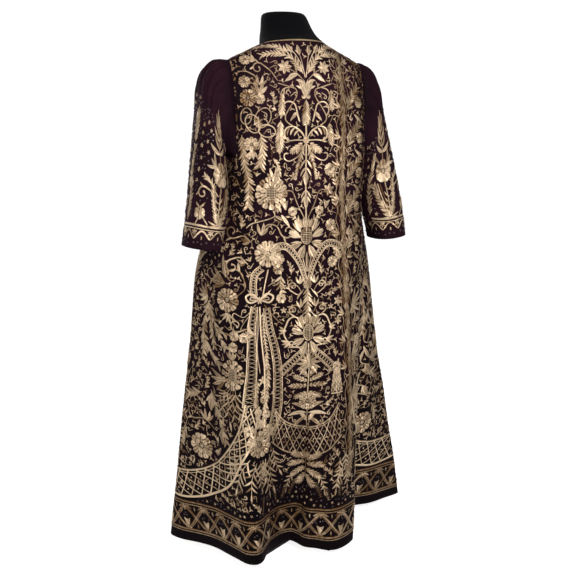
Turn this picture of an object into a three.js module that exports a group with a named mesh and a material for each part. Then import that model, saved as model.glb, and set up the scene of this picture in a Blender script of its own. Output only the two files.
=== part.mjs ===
// A velvet kaftan on a dress form: a straight back and two open fronts, four flared gores at the sides, and
// two straight sleeves set into upright armholes. The form's shoulders carry it, and a pole and a cross
// foot carry the form. Millimetres. +Z is up, the back faces +Y, and the wearer's left is +X. The origin is
// on the floor under the pole.
import * as THREE from "three";
import { mergeVertices } from "three/addons/utils/BufferGeometryUtils.js";

// ---------------------------------------------------------------- driving dimensions
const WALL = 2.4; // velvet, its lining and the stiffening between them
const SEAM = 0.3; // parting between two pieces at a seam
const HEM_Z = 30;
const UNDERARM_Z = 1095;
const ARMHOLE_X = 182; // the upright armhole's distance from the middle
const NECK_HALF = 86; // half the neckline's width
const SHOULDER = { y: 24, neckZ: 1376, endZ: 1333 }; // the shoulder seam, from the neck to the armhole
const NAPE_Z = 1381;
const THROAT_Z = 1334;
const CHEST_SQUARE = 4; // how boxy the outline is at the underarm
// The shoulders' line carried on over the neck, and its roundness.
const RIDGE = { rise: 26, round: 2.3, napeRound: 3.6 };
const FRONT_PARTING = { top: 1.2, hem: 26 }; // width of the gap between the two fronts
const BRAID = { width: 5, thick: 1.8, proud: 0.4 }; // sewn on edge to edge round the neck

const CHEST_HALF = 192;
const CHEST_SHARE = (ARMHOLE_X / CHEST_HALF) ** (CHEST_SQUARE / 2);
const CHEST_SEAM = THREE.MathUtils.radToDeg(Math.asin(CHEST_SHARE));
const CHEST = { half: CHEST_HALF, square: CHEST_SQUARE, backSeam: CHEST_SEAM, frontSeam: 180 - CHEST_SEAM };

// The body's smooth outline, before its folds: half its width, its back, widest and front places along Y,
// how boxy it is, and the angles of the back and front seams round from the middle of the back.
const BODY = [
  { z: 1095, back: 110, mid: 8, front: -108, ...CHEST },
  { z: 1030, half: 192, back: 108, mid: 4, front: -108, square: 3.6, backSeam: 61, frontSeam: 119 },
  { z: 950, half: 204, back: 110, mid: -10, front: -118, square: 2.9, backSeam: 53, frontSeam: 127 },
  { z: 813, half: 250, back: 118, mid: -32, front: -152, square: 2.3, backSeam: 41, frontSeam: 138 },
  { z: 590, half: 276, back: 130, mid: -34, front: -190, square: 2.2, backSeam: 35, frontSeam: 145 },
  { z: 354, half: 304, back: 148, mid: -28, front: -218, square: 2.2, backSeam: 29, frontSeam: 150 },
  { z: HEM_Z, half: 345, back: 165, mid: -28, front: -240, square: 2.2, backSeam: 24, frontSeam: 154 },
];

// The hem's folds. around runs from -4 at the right front edge over 0 at the middle of the back to 4 at the
// left front edge; whole numbers are seams. start is the height where the cloth begins to be drawn to this
// place.
const HEM = [
  { around: -4.0, x: -14, y: -236, start: 900 },
  { around: -3.7, x: -76, y: -252, start: 800 },
  { around: -3.45, x: -130, y: -212, start: 760 },
  { around: -3.22, x: -182, y: -240, start: 840 },
  { around: -3.0, x: -232, y: -222, start: 900 },
  { around: -2.75, x: -262, y: -172, start: 860 },
  { around: -2.55, x: -312, y: -182, start: 900 },
  { around: -2.35, x: -352, y: -132, start: 940 },
  { around: -2.15, x: -386, y: -92, start: 960 },
  { around: -2.0, x: -404, y: -58, start: 980 },
  { around: -1.88, x: -345, y: -44, start: 980 },
  { around: -1.74, x: -282, y: -32, start: 960 },
  { around: -1.6, x: -222, y: -38, start: 980 },
  { around: -1.46, x: -168, y: -20, start: 1010 },
  { around: -1.33, x: -142, y: 34, start: 1030 },
  { around: -1.18, x: -136, y: 92, start: 1030 },
  { around: -1.07, x: -132, y: 136, start: 1000 },
  { around: -0.96, x: -116, y: 156, start: 1000 },
  { around: -0.72, x: -70, y: 178, start: 860 },
  { around: -0.5, x: -36, y: 176, start: 760 },
  { around: -0.28, x: -8, y: 150, start: 680 },
  { around: 0.0, x: 19, y: 124, start: 600 },
  { around: 0.16, x: 32, y: 82, start: 540 },
  { around: 0.38, x: 58, y: 76, start: 560 },
  { around: 0.62, x: 92, y: 92, start: 660 },
  { around: 0.82, x: 120, y: 114, start: 780 },
  { around: 1.0, x: 147, y: 150, start: 880 },
  { around: 1.13, x: 171, y: 163, start: 960 },
  { around: 1.26, x: 193, y: 150, start: 980 },
  { around: 1.42, x: 208, y: 116, start: 960 },
  { around: 1.58, x: 224, y: 74, start: 940 },
  { around: 1.73, x: 243, y: 24, start: 960 },
  { around: 1.86, x: 272, y: -18, start: 960 },
  { around: 2.0, x: 312, y: -62, start: 980 },
  { around: 2.15, x: 328, y: -102, start: 960 },
  { around: 2.38, x: 300, y: -146, start: 900 },
  { around: 2.58, x: 292, y: -200, start: 900 },
  { around: 2.78, x: 252, y: -236, start: 880 },
  { around: 3.0, x: 206, y: -212, start: 880 },
  { around: 3.25, x: 158, y: -206, start: 800 },
  { around: 3.48, x: 116, y: -244, start: 780 },
  { around: 3.74, x: 62, y: -226, start: 800 },
  { around: 4.0, x: 14, y: -238, start: 900 },
];
const FOLD_EASE = 1.15; // above 1, a fold opens faster near the hem

// The left sleeve's sections from the armhole to the cuff: its outer and inner points, seen from the front,
// the middle of its depth, half that depth, and how deep the shoulder's soft gathers are there.
const SLEEVE = [
  { outX: 198, outZ: 1334, inX: 194, inZ: 1103, midY: 4, halfDepth: 68, gather: 1.4 },
  { outX: 216, outZ: 1327, inX: 196.5, inZ: 1100, midY: 2, halfDepth: 71, gather: 2.6 },
  { outX: 236, outZ: 1308, inX: 198, inZ: 1092, midY: 0, halfDepth: 73, gather: 2.2 },
  { outX: 249, outZ: 1277, inX: 198.4, inZ: 1082, midY: 2, halfDepth: 73, gather: 1.4 },
  { outX: 256, outZ: 1226, inX: 197.6, inZ: 1064, midY: 8, halfDepth: 72, gather: 0.6 },
  { outX: 269, outZ: 1156, inX: 197, inZ: 1034, midY: 20, halfDepth: 70, gather: 0 },
  { outX: 283, outZ: 1079, inX: 199, inZ: 997, midY: 32, halfDepth: 69, gather: 0 },
  { outX: 296, outZ: 1000, inX: 206, inZ: 950, midY: 43, halfDepth: 67, gather: 0 },
  { outX: 307, outZ: 934, inX: 216, inZ: 908, midY: 49, halfDepth: 65, gather: 0 },
  { outX: 317, outZ: 878, inX: 225, inZ: 866, midY: 50, halfDepth: 64, gather: 0 },
];
const SLEEVE_BOXY = 2.3;
const GATHERS = 9; // round the sleeve's head

// The dress form's sections below the chest, and its neck's above the neckline.
const TORSO = [
  { z: 780, half: 136, back: 78, mid: 6, front: -66, square: 2.3 },
  { z: 790, half: 150, back: 88, mid: 6, front: -76, square: 2.3 },
  { z: 850, half: 158, back: 92, mid: 5, front: -82, square: 2.3 },
  { z: 930, half: 142, back: 84, mid: 4, front: -74, square: 2.3 },
  { z: 1010, half: 124, back: 78, mid: 6, front: -66, square: 2.4 },
];
const NECK = [
  { z: 1394, half: 77, back: 60, mid: -8, front: -80, square: 2.1 },
  { z: 1412, half: 70, back: 42, mid: -20, front: -84, square: 2 },
  { z: 1434, half: 64, back: 26, mid: -32, front: -92, square: 2 },
  { z: 1450, half: 60, back: 16, mid: -40, front: -98, square: 2 },
  { z: 1457, half: 54, back: 8, mid: -44, front: -96, square: 2 },
  { z: 1460, half: 40, back: -6, mid: -46, front: -86, square: 2 },
];
const FORM = {
  gap: 0.4, // between the form's shoulders and the cloth they carry
  slack: 9, // more at the chest
  roundFrom: 134, // where its shoulders start to round off
  end: 170,
  drop: 34,
};
const POLE = { radius: 12.5, top: 779.7, hubRadius: 24, hubHeight: 30, cone: 14 };
const FOOT = { reach: 142, rootHalf: 17, tipHalf: 12, height: 8, turn: 30 };

// How finely each piece is divided.
const UPPER_ROWS = [0, 0.012, 0.04, 0.085, 0.15, 0.25, 0.42, 0.68, 1];
const LOWER_ROWS = 14;
const SLEEVE_ROUND = 25;
const COLUMNS = { neck: 8, shoulder: 5, gore: 9 };

// ---------------------------------------------------------------- small maths
const mix = (a, b, t) => a + (b - a) * t;
const clamp = (t, low, high) => Math.min(high, Math.max(low, t));
const radians = THREE.MathUtils.degToRad;

// A smooth curve through a table's rows: the value of one named column at a place in another, sorted
// column.
function along(table, key, place, column) {
  const rising = table[table.length - 1][key] > table[0][key];
  const at = (i) => table[clamp(i, 0, table.length - 1)];
  let i = table.findIndex((row) => (rising ? row[key] > place : row[key] < place)) - 1;
  if (i < -1) i = table.length - 2;
  i = clamp(i, 0, table.length - 2);
  const [a, b] = [at(i), at(i + 1)];
  const span = b[key] - a[key];
  const slope = (before, after) => {
    const run = after[key] - before[key];
    return run ? ((after[column] - before[column]) / run) * span : 0;
  };
  const t = clamp((place - a[key]) / span, 0, 1);
  const [m0, m1] = [slope(at(i - 1), b), slope(a, at(i + 2))];
  const [t2, t3] = [t * t, t * t * t];
  return (
    (2 * t3 - 3 * t2 + 1) * a[column] +
    (t3 - 2 * t2 + t) * m0 +
    (3 * t2 - 2 * t3) * b[column] +
    (t3 - t2) * m1
  );
}

// A rounded box's outline at an angle from the middle of the back, towards +X.
function outline({ half, back, mid, front, square }, angle) {
  const power = 2 / square;
  const [s, c] = [Math.sin(angle), Math.cos(angle)];
  const depth = c > 0 ? back - mid : mid - front;
  return {
    x: half * Math.sign(s) * Math.abs(s) ** power,
    y: mid + depth * Math.sign(c) * Math.abs(c) ** power,
  };
}

// ---------------------------------------------------------------- the cloth's surface
const STEP = 2e-3; // for slopes
const bodyAt = (z) =>
  Object.fromEntries(
    ["half", "back", "mid", "front", "square", "backSeam", "frontSeam"].map((c) => [c, along(BODY, "z", z, c)]),
  );

// Spreads a straight panel's width evenly over its share of the boxy chest.
const evened = (t) => Math.asin(CHEST_SHARE * t ** (CHEST_SQUARE / 2)) / Math.asin(CHEST_SHARE);

// The smooth body's point at a height, without folds. around is as in HEM.
function smoothBody(around, z) {
  const body = bodyAt(z);
  const q = Math.abs(around);
  const [backSeam, frontSeam] = [radians(body.backSeam), radians(body.frontSeam)];
  let angle;
  if (q <= 1) angle = backSeam * evened(q);
  else if (q <= 2) angle = mix(backSeam, Math.PI / 2, q - 1);
  else if (q <= 3) angle = mix(Math.PI / 2, frontSeam, q - 2);
  else angle = Math.PI - (Math.PI - frontSeam) * evened(4 - q);
  const p = outline(body, angle);
  return { x: Math.sign(around || 1) * p.x, y: p.y };
}

// Below the underarm: the smooth body, drawn more and more to the folds of the hem.
function skirt(around, z) {
  const here = smoothBody(around, z);
  const hem = smoothBody(around, HEM_Z);
  const start = along(HEM, "around", around, "start");
  const pull = clamp((start - z) / (start - HEM_Z), 0, 1) ** FOLD_EASE;
  const x = here.x + pull * (along(HEM, "around", around, "x") - hem.x);
  const y = here.y + pull * (along(HEM, "around", around, "y") - hem.y);
  return new THREE.Vector3(x, y, z);
}

// How far up the back (facing 1) or a front (facing -1) reaches at a distance from the middle.
function topEdge(x, facing) {
  const out = Math.abs(x) / NECK_HALF;
  if (out >= 1) return shoulderLine(x);
  return mix(SHOULDER.neckZ, facing > 0 ? NAPE_Z : THROAT_Z, Math.sqrt(1 - out * out) ** 1.3);
}
const SHOULDER_SLOPE = (SHOULDER.neckZ - SHOULDER.endZ) / (ARMHOLE_X - NECK_HALF);
function shoulderLine(x) {
  const out = Math.abs(x) / NECK_HALF;
  return out >= 1
    ? SHOULDER.neckZ - (Math.abs(x) - NECK_HALF) * SHOULDER_SLOPE
    : SHOULDER.neckZ + RIDGE.rise * (1 - out * out);
}

// Above the underarm: the cloth falls from the ridge of the shoulders and turns into the chest's outline.
// fall is 0 at the panel's top edge and 1 at the underarm. The surface is where 1 - (1 - t)^r = u^r, t down
// and u out from the ridge.
function yoke(around, fall) {
  const facing = Math.abs(around) <= 1 ? 1 : -1;
  const side = Math.sign(around || 1);
  const chestAt = (q) => skirt(q, UNDERARM_Z).y - SHOULDER.y;
  const x = side * ARMHOLE_X * (facing > 0 ? Math.abs(around) : 4 - Math.abs(around));
  const z = mix(topEdge(x, facing), UNDERARM_Z, fall);
  const height = shoulderLine(x) - UNDERARM_Z;
  const t = clamp((shoulderLine(x) - z) / height, 0, 1);
  const central = Math.max(0, 1 - (x / (1.5 * NECK_HALF)) ** 2) ** 2;
  const r = facing > 0 ? mix(RIDGE.round, RIDGE.napeRound, central) : RIDGE.round;
  const u = (1 - (1 - t) ** r) ** (1 / r);
  const depth = chestAt(around);

  const [low, high] = facing > 0 ? [-1, 1] : side > 0 ? [3, 4] : [-4, -3];
  const [before, after] = [Math.max(low, around - STEP), Math.min(high, around + STEP)];
  const depthSlope = ((chestAt(after) - chestAt(before)) / ((after - before) * ARMHOLE_X)) * facing;
  const ridgeSlope = shoulderLine(x + 0.5) - shoulderLine(x - 0.5); // over 1 mm
  const [byT, byU] = [r * (1 - t) ** (r - 1), r * u ** (r - 1)];
  const out = new THREE.Vector3(
    -(byT * ridgeSlope * (1 - t)) / height - (byU * u * depthSlope) / depth,
    byU / depth,
    byT / height,
  ).normalize();
  return { point: new THREE.Vector3(x, SHOULDER.y + u * depth, z), out };
}

// The cloth's outer face. down runs from 0 at the top edge over 1 at the underarm to 2 at the hem.
const cloth = (around, down) =>
  down < 1 ? yoke(around, down).point : skirt(around, mix(UNDERARM_Z, HEM_Z, down - 1));

// The outward direction of the cloth, and the way round it, at a place.
function facings(around, down) {
  if (down < 1) {
    return { round: new THREE.Vector3(Math.abs(around) <= 1 ? 1 : -1, 0, 0), out: yoke(around, down).out };
  }
  const round = cloth(Math.min(4, around + STEP), down)
    .sub(cloth(Math.max(-4, around - STEP), down))
    .normalize();
  const fall = cloth(around, Math.min(down + STEP, 2))
    .sub(cloth(around, Math.max(down - STEP, 1)))
    .normalize();
  return { round, out: new THREE.Vector3().crossVectors(round, fall).normalize() };
}

// ---------------------------------------------------------------- solids from rows of points
// Each point of a row is { outer, inner }. A closed row joins its last point to its first.
function wall(rows, closed) {
  const across = rows[0].length;
  const spans = closed ? across : across - 1;
  const points = rows.flatMap((row) => row.flatMap((p) => [p.outer, p.inner]));
  const at = (i, j, side) => 2 * (i * across + (j % across)) + side;
  const faces = [];
  const quad = (a, b, c, d) => faces.push(a, b, c, a, c, d);
  for (let i = 0; i + 1 < rows.length; i++)
    for (let j = 0; j < spans; j++) {
      quad(at(i, j, 0), at(i + 1, j, 0), at(i + 1, j + 1, 0), at(i, j + 1, 0));
      quad(at(i, j, 1), at(i, j + 1, 1), at(i + 1, j + 1, 1), at(i + 1, j, 1));
    }
  const last = rows.length - 1;
  for (let j = 0; j < spans; j++) {
    quad(at(0, j, 0), at(0, j + 1, 0), at(0, j + 1, 1), at(0, j, 1));
    quad(at(last, j, 0), at(last, j, 1), at(last, j + 1, 1), at(last, j + 1, 0));
  }
  for (let i = 0; !closed && i < last; i++) {
    quad(at(i, 0, 0), at(i, 0, 1), at(i + 1, 0, 1), at(i + 1, 0, 0));
    quad(at(i, spans, 0), at(i + 1, spans, 0), at(i + 1, spans, 1), at(i, spans, 1));
  }
  return solid(points, faces);
}

// A solid from a stack of closed rings of points, capped at both ends.
function stack(rings) {
  const round = rings[0].length;
  const centre = (ring) => ring.reduce((sum, p) => sum.add(p), new THREE.Vector3()).divideScalar(round);
  const points = [...rings.flat(), centre(rings[0]), centre(rings[rings.length - 1])];
  const [low, high] = [points.length - 2, points.length - 1];
  const faces = [];
  for (let i = 0; i + 1 < rings.length; i++)
    for (let j = 0; j < round; j++) {
      const [a, b] = [i * round + j, i * round + ((j + 1) % round)];
      faces.push(a, b, b + round, a, b + round, a + round);
    }
  for (let j = 0; j < round; j++) {
    const next = (j + 1) % round;
    const end = (rings.length - 1) * round;
    faces.push(low, next, j, high, end + j, end + next);
  }
  return solid(points, faces);
}

// The closed geometry of numbered points and faces, turned to face outwards.
function solid(points, faces) {
  let volume = 0;
  for (let i = 0; i < faces.length; i += 3) {
    const [a, b, c] = [points[faces[i]], points[faces[i + 1]], points[faces[i + 2]]];
    volume += a.dot(new THREE.Vector3().crossVectors(b, c));
  }
  if (volume < 0)
    for (let i = 0; i < faces.length; i += 3) [faces[i], faces[i + 1]] = [faces[i + 1], faces[i]];
  const geometry = new THREE.BufferGeometry();
  geometry.setAttribute("position", new THREE.Float32BufferAttribute(points.flatMap((p) => p.toArray()), 3));
  geometry.setIndex(faces);
  return mergeVertices(geometry, 1e-4);
}

// ---------------------------------------------------------------- materials
const finish = (color, roughness, metalness = 0) => new THREE.MeshStandardMaterial({ color, roughness, metalness });
const MATERIALS = {
  velvet: finish(0x2e1628, 0.85),
  braid: finish(0xb9965a, 0.45, 0.6),
  jersey: finish(0x141416, 0.9),
  steel: finish(0x2a2a2c, 0.45, 0.7),
};

const kaftan = new THREE.Group();
kaftan.name = "kaftan_on_dress_form";
function add(name, geometry, material) {
  const mesh = new THREE.Mesh(geometry, MATERIALS[material]);
  mesh.name = name;
  kaftan.add(mesh);
  return mesh;
}

// ---------------------------------------------------------------- cloth panels
const downRows = (upper) => {
  const lower = Array.from({ length: LOWER_ROWS }, (_, i) => 1 + (i + 1) / LOWER_ROWS);
  return upper ? [...UPPER_ROWS, ...lower] : [1, ...lower];
};

const shoulderOut = (side) => new THREE.Vector3(side * SHOULDER_SLOPE, 0, 1).normalize();

// A panel's point at a place, moved off its seam by half the parting. offSeam is 1 or -1 on an edge, or
// else 0.
function panelPoint(around, down, offSeam) {
  const { round, out } = facings(around, down);
  const facing = Math.abs(around) <= 1 ? 1 : -1;
  const outer = cloth(around, down);
  const onShoulder = down === 0 && Math.abs(outer.x) >= NECK_HALF - 1;
  if (onShoulder) {
    // Both panels end in the upright plane of the shoulder seam.
    out.copy(shoulderOut(Math.sign(outer.x)));
    outer.y += (facing * SEAM) / 2;
  }
  const inner = outer.clone().addScaledVector(out, -WALL);
  if (down < 1 && offSeam) {
    // The armhole's edge, or a front's, lies in an upright plane.
    inner.x = outer.x;
  }
  outer.addScaledVector(round, (offSeam * SEAM) / 2);
  inner.addScaledVector(round, (offSeam * SEAM) / 2);
  return { outer, inner };
}

// A front's edge swings away from the middle, more towards the hem.
function partFront(point, around) {
  const q = Math.abs(around);
  if (q <= 3) return point;
  const z = point.outer.z;
  const share = clamp((THROAT_Z - z) / (THROAT_Z - HEM_Z), 0, 1) ** 1.5;
  const gap = mix(FRONT_PARTING.top, FRONT_PARTING.hem, share) / 2;
  const shift = Math.sign(around) * gap * (q - 3) ** 2;
  point.outer.x += shift;
  point.inner.x += shift;
  return point;
}

function panel(places, upper) {
  const rows = downRows(upper).map((down) =>
    places.map((around, j) => {
      const offSeam = j === 0 ? 1 : j === places.length - 1 ? -1 : 0;
      return partFront(panelPoint(around, down, offSeam), around);
    }),
  );
  return wall(rows, false);
}

const evenly = (from, to, count) => Array.from({ length: count + 1 }, (_, i) => mix(from, to, i / count));
// Distances from the middle: closer together where the neckline turns into the shoulder.
const NECK_TURNS = evenly(0, Math.PI / 2, COLUMNS.neck).map(Math.sin);
const SHOULDER_STEPS = evenly(NECK_HALF, ARMHOLE_X, COLUMNS.shoulder).slice(1);
const neckSteps = NECK_TURNS.map((turn) => turn * NECK_HALF);
const halfBack = [...neckSteps, ...SHOULDER_STEPS].map((x) => x / ARMHOLE_X);
const frontColumns = halfBack.map((q) => 4 - q).reverse();
const mirrored = (places) => places.map((q) => -q).reverse();

add("back", panel([...mirrored(halfBack).slice(0, -1), ...halfBack], true), "velvet");
for (const [side, placed] of [["left", (q) => q], ["right", mirrored]]) {
  add(`gore_back_${side}`, panel(placed(evenly(1, 2, COLUMNS.gore)), false), "velvet");
  add(`gore_front_${side}`, panel(placed(evenly(2, 3, COLUMNS.gore)), false), "velvet");
  add(`front_${side}`, panel(placed(frontColumns), true), "velvet");
}

// ---------------------------------------------------------------- the neckline's braid
// The neckline from the right front over the back to the left front: its points, the cloth's outward
// direction there, and the way on from its edge, towards the neck.
function neckline() {
  const half = halfBack.slice(0, COLUMNS.neck + 1);
  const fronts = half.map((q) => 4 - q);
  const leftFront = [...fronts].reverse();
  const overBack = [...mirrored(half), ...half.slice(1)];
  const places = [...mirrored(leftFront), ...overBack.slice(1), ...leftFront.slice(1)];
  const points = places.map((around) => cloth(around, 0));
  return places.map((around, k) => {
    const point = points[k];
    const run = points[Math.min(k + 1, points.length - 1)].clone().sub(points[Math.max(k - 1, 0)]);
    const atShoulder = Math.abs(point.x) > NECK_HALF - 0.1;
    const out = atShoulder ? shoulderOut(Math.sign(point.x)) : facings(around, 0).out;
    const onward = new THREE.Vector3().crossVectors(out, run).normalize();
    if (onward.dot(new THREE.Vector3(-point.x, 8 - point.y, 0)) < 0) onward.negate();
    return { around, point, out, onward };
  });
}
const atNeckline = ({ point, out, onward }, onwards, lift) =>
  point.clone().addScaledVector(onward, onwards).addScaledVector(out, lift);

function braid() {
  const rows = neckline().map((place) =>
    [SEAM, SEAM + BRAID.width].map((onwards) => {
      const outer = atNeckline(place, onwards, BRAID.proud);
      const inner = atNeckline(place, onwards, BRAID.proud - BRAID.thick);
      return partFront({ outer, inner }, place.around);
    }),
  );
  return wall(rows, false);
}
add("neck_braid", braid(), "braid");

// ---------------------------------------------------------------- sleeves
const BACK_END = 0.4; // the share of the armhole down the back
// The armhole's edge at a share of the way round: down the back from the shoulder, under the arm, and up
// the front.
function armhole(share) {
  const fallen = (part) => {
    const cosine = Math.abs(Math.cos(part * 2 * Math.PI)) ** (2 / SLEEVE_BOXY);
    return (1 - Math.sign(0.25 - part) * cosine) / 2;
  };
  const fall = (part) => fallen(part) / fallen(BACK_END);
  if (share <= BACK_END) return cloth(1, fall(share));
  if (share >= 1 - BACK_END) return cloth(3, fall(1 - share));
  return cloth(mix(1, 3, (share - BACK_END) / (1 - 2 * BACK_END)), 1);
}

// The sleeve's outer face at a share of the way round, in a numbered section. Section 0 is the armhole's
// edge.
function sleevePoint(share, section) {
  if (section === 0) {
    const p = armhole(share);
    const low = p.z < UNDERARM_Z + 1e-6;
    return new THREE.Vector3(p.x + SEAM, p.y, p.z + (low ? SEAM : 0));
  }
  const row = SLEEVE[section - 1];
  const angle = share * 2 * Math.PI;
  const power = 2 / SLEEVE_BOXY;
  const c = Math.sign(Math.cos(angle)) * Math.abs(Math.cos(angle)) ** power;
  const s = Math.sign(Math.sin(angle)) * Math.abs(Math.sin(angle)) ** power;
  const gathered = row.gather * Math.cos(GATHERS * 2 * angle) * Math.max(0, Math.cos(angle * 0.9)) ** 0.5;
  const grow = 1 + gathered / 100;
  return new THREE.Vector3(
    mix(row.inX, row.outX, (1 + c * grow) / 2),
    row.midY + s * row.halfDepth * grow,
    mix(row.inZ, row.outZ, (1 + c * grow) / 2),
  );
}

function sleeve() {
  const sections = SLEEVE.length + 1;
  const faces = Array.from({ length: sections }, (_, i) =>
    Array.from({ length: SLEEVE_ROUND }, (_, j) => sleevePoint(j / SLEEVE_ROUND, i)),
  );
  const rows = faces.map((ring, i) =>
    ring.map((outer, j) => {
      const before = faces[Math.max(i - 1, 0)][j];
      const after = faces[Math.min(i + 1, sections - 1)][j];
      const next = ring[(j + 1) % SLEEVE_ROUND];
      const last = ring[(j + SLEEVE_ROUND - 1) % SLEEVE_ROUND];
      const out = new THREE.Vector3();
      out.crossVectors(after.clone().sub(before), next.clone().sub(last)).normalize();
      const middle = ring.reduce((sum, p) => sum.add(p), new THREE.Vector3()).divideScalar(SLEEVE_ROUND);
      if (out.dot(outer.clone().sub(middle)) < 0) out.negate();
      const inner = outer.clone().addScaledVector(out, -WALL);
      if (i === 0) inner.x = Math.max(inner.x, outer.x);
      return { outer, inner };
    }),
  );
  return wall(rows, true);
}

add("sleeve_left", sleeve(), "velvet");
const rightSleeve = sleeve();
rightSleeve.applyMatrix4(new THREE.Matrix4().makeScale(-1, 1, 1));
const turned = rightSleeve.index.array;
for (let i = 0; i < turned.length; i += 3) [turned[i], turned[i + 1]] = [turned[i + 1], turned[i]];
add("sleeve_right", rightSleeve, "velvet");

// ---------------------------------------------------------------- the dress form and its stand
// Its surface under the cloth: the back or a front at a distance from the middle and a share of the fall.
function formPoint(x, fall, facing) {
  const out = Math.abs(x);
  const q = out / ARMHOLE_X;
  const around = (x < 0 ? -1 : 1) * (facing > 0 ? q : 4 - q);
  const point = cloth(around, fall);
  const inward = facings(around, fall).out.multiplyScalar(-1);
  const slack = FORM.slack * clamp((fall - 0.1) / 0.4, 0, 1);
  const nearNeck = clamp(1.6 - Math.abs(out - 72) / 25, 0, 1) * clamp(1 - fall / 0.2, 0, 1);
  const byNeck = (facing < 0 ? 3 : 1) * nearNeck;
  point.addScaledVector(inward, WALL + FORM.gap + slack + byNeck);
  const bend = clamp((out - FORM.roundFrom) / (FORM.end - FORM.roundFrom), 0, 1);
  const rounded = 1 - Math.sqrt(1 - (0.92 * bend) ** 2);
  point.z -= FORM.drop * rounded * (1 - fall);
  point.y = mix(point.y, SHOULDER.y * (1 - fall), 0.75 * rounded);
  return point;
}

function dressForm() {
  const half = [
    ...NECK_TURNS.map((turn) => turn * NECK_HALF),
    ...SHOULDER_STEPS.filter((x) => x <= FORM.roundFrom),
    ...evenly(0, Math.PI / 2, 3).slice(1).map((t) => mix(FORM.roundFrom, FORM.end, Math.sin(t))),
  ];
  const across = [...mirrored(half).slice(0, -1), ...half];
  const last = across.length - 1;
  const ringOf = (place) => [...across.map((x) => place(x, 1)), ...across.map((x) => place(x, -1)).reverse()];
  const low = TORSO.map((row) =>
    ringOf((x, facing) => {
      const angle = (Math.PI / 2) * Math.sign(x) * (Math.abs(x) / FORM.end) ** 1.15;
      const p = outline(row, facing > 0 ? angle * 0.985 : Math.PI - angle * 0.985);
      return new THREE.Vector3(p.x, p.y, row.z);
    }),
  );
  const falls = UPPER_ROWS.slice(1, -1).reverse();
  const chest = falls.map((fall) => ringOf((x, facing) => formPoint(x, fall, facing)));
  const body = [...low, ...chest];
  const round = 2 * across.length;

  // The neck rises from the part of the top ring inside the neckline.
  const first = half.length - 1 - COLUMNS.neck;
  const inNeck = Array.from({ length: 2 * COLUMNS.neck + 1 }, (_, i) => first + i);
  const loop = [...inNeck, ...inNeck.map((j) => round - 1 - j).reverse()];
  const atNeck = (row, k) => {
    const j = loop[k] <= last ? loop[k] : round - 1 - loop[k];
    const turn = Math.asin(clamp(across[j] / NECK_HALF, -1, 1)) * 0.97;
    return loop[k] <= last ? turn : Math.PI - turn;
  };
  const edges = neckline();
  const nearest = (j) => {
    const isBack = j <= last;
    const x = across[isBack ? j : round - 1 - j];
    const onShoulder = Math.abs(x) > NECK_HALF - 0.1;
    const sameSide = (e) => onShoulder || Math.abs(e.around) <= 1 === isBack;
    return edges.find((e) => Math.abs(e.point.x - x) < 0.01 && sameSide(e));
  };
  const atEdge = (onwards, lift) => loop.map((j) => atNeckline(nearest(j), onwards, lift));
  const clear = BRAID.width + SEAM + 1;
  const neck = [
    atEdge(1, -(WALL + 1.5)),
    atEdge(clear, -(WALL + 0.5)),
    atEdge(clear, 1.5),
    ...NECK.map((row) => loop.map((_, k) => {
      const p = outline(row, atNeck(row, k));
      return new THREE.Vector3(p.x, p.y, row.z);
    })),
  ];

  const points = [...body.flat(), ...neck.flat()];
  const faces = [];
  const quad = (a, b, c, d) => faces.push(a, b, c, a, c, d);
  for (let i = 0; i + 1 < body.length; i++)
    for (let j = 0; j < round; j++) {
      const next = (j + 1) % round;
      quad(i * round + j, i * round + next, (i + 1) * round + next, (i + 1) * round + j);
    }
  // The ridge of each shoulder, between the back and the front.
  const top = (body.length - 1) * round;
  const ridge = (j) => quad(top + j, top + j + 1, top + round - 2 - j, top + round - 1 - j);
  for (let j = 0; j < last; j++) if (j < first || j >= first + 2 * COLUMNS.neck) ridge(j);
  // The underside.
  const under = (j) => quad(round - 1 - j, round - 2 - j, j + 1, j);
  for (let j = 0; j < last; j++) under(j);
  // The neck's sides and its flat top.
  const base = body.length * round;
  const size = loop.length;
  for (let k = 0; k < size; k++) {
    const next = (k + 1) % size;
    quad(top + loop[k], top + loop[next], base + next, base + k);
    for (let i = 0; i + 1 < neck.length; i++) {
      const [low, high] = [base + i * size, base + (i + 1) * size];
      quad(low + k, low + next, high + next, high + k);
    }
  }
  const end = base + (neck.length - 1) * size;
  for (let k = 0; k + 1 < size / 2; k++) quad(end + k, end + k + 1, end + size - 2 - k, end + size - 1 - k);
  return solid(points, faces);
}
add("form_torso", dressForm(), "jersey");

const poleProfile = [
  [0, FOOT.height + SEAM],
  [POLE.hubRadius, FOOT.height + SEAM],
  [POLE.hubRadius, FOOT.height + SEAM + POLE.hubHeight],
  [POLE.radius, FOOT.height + SEAM + POLE.hubHeight + POLE.cone],
  [POLE.radius, POLE.top],
  [0, POLE.top],
].map(([r, z]) => new THREE.Vector2(r, z));
const lathed = new THREE.LatheGeometry(poleProfile, 24);
const pole = mergeVertices(lathed.deleteAttribute("uv").deleteAttribute("normal"), 1e-3);
pole.rotateX(Math.PI / 2);
add("stand_pole", pole, "steel");

// Four tapered arms flat on the floor.
const arm = [
  [FOOT.reach, -FOOT.tipHalf],
  [FOOT.reach, FOOT.tipHalf],
  [FOOT.rootHalf, FOOT.rootHalf],
];
const corners = [0, 1, 2, 3].flatMap((quarter) => {
  const turn = radians(FOOT.turn + 90 * quarter);
  return arm.map(([x, y]) => new THREE.Vector2(x, y).rotateAround(new THREE.Vector2(), turn));
});
const cross = new THREE.Shape(corners);
const foot = new THREE.ExtrudeGeometry(cross, { depth: FOOT.height, bevelEnabled: false });
foot.deleteAttribute("uv").deleteAttribute("normal");
add("stand_foot", mergeVertices(foot, 1e-3), "steel");

export default kaftan;
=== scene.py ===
import math

import bmesh
import bpy
import numpy as np
from mathutils import Matrix


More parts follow.
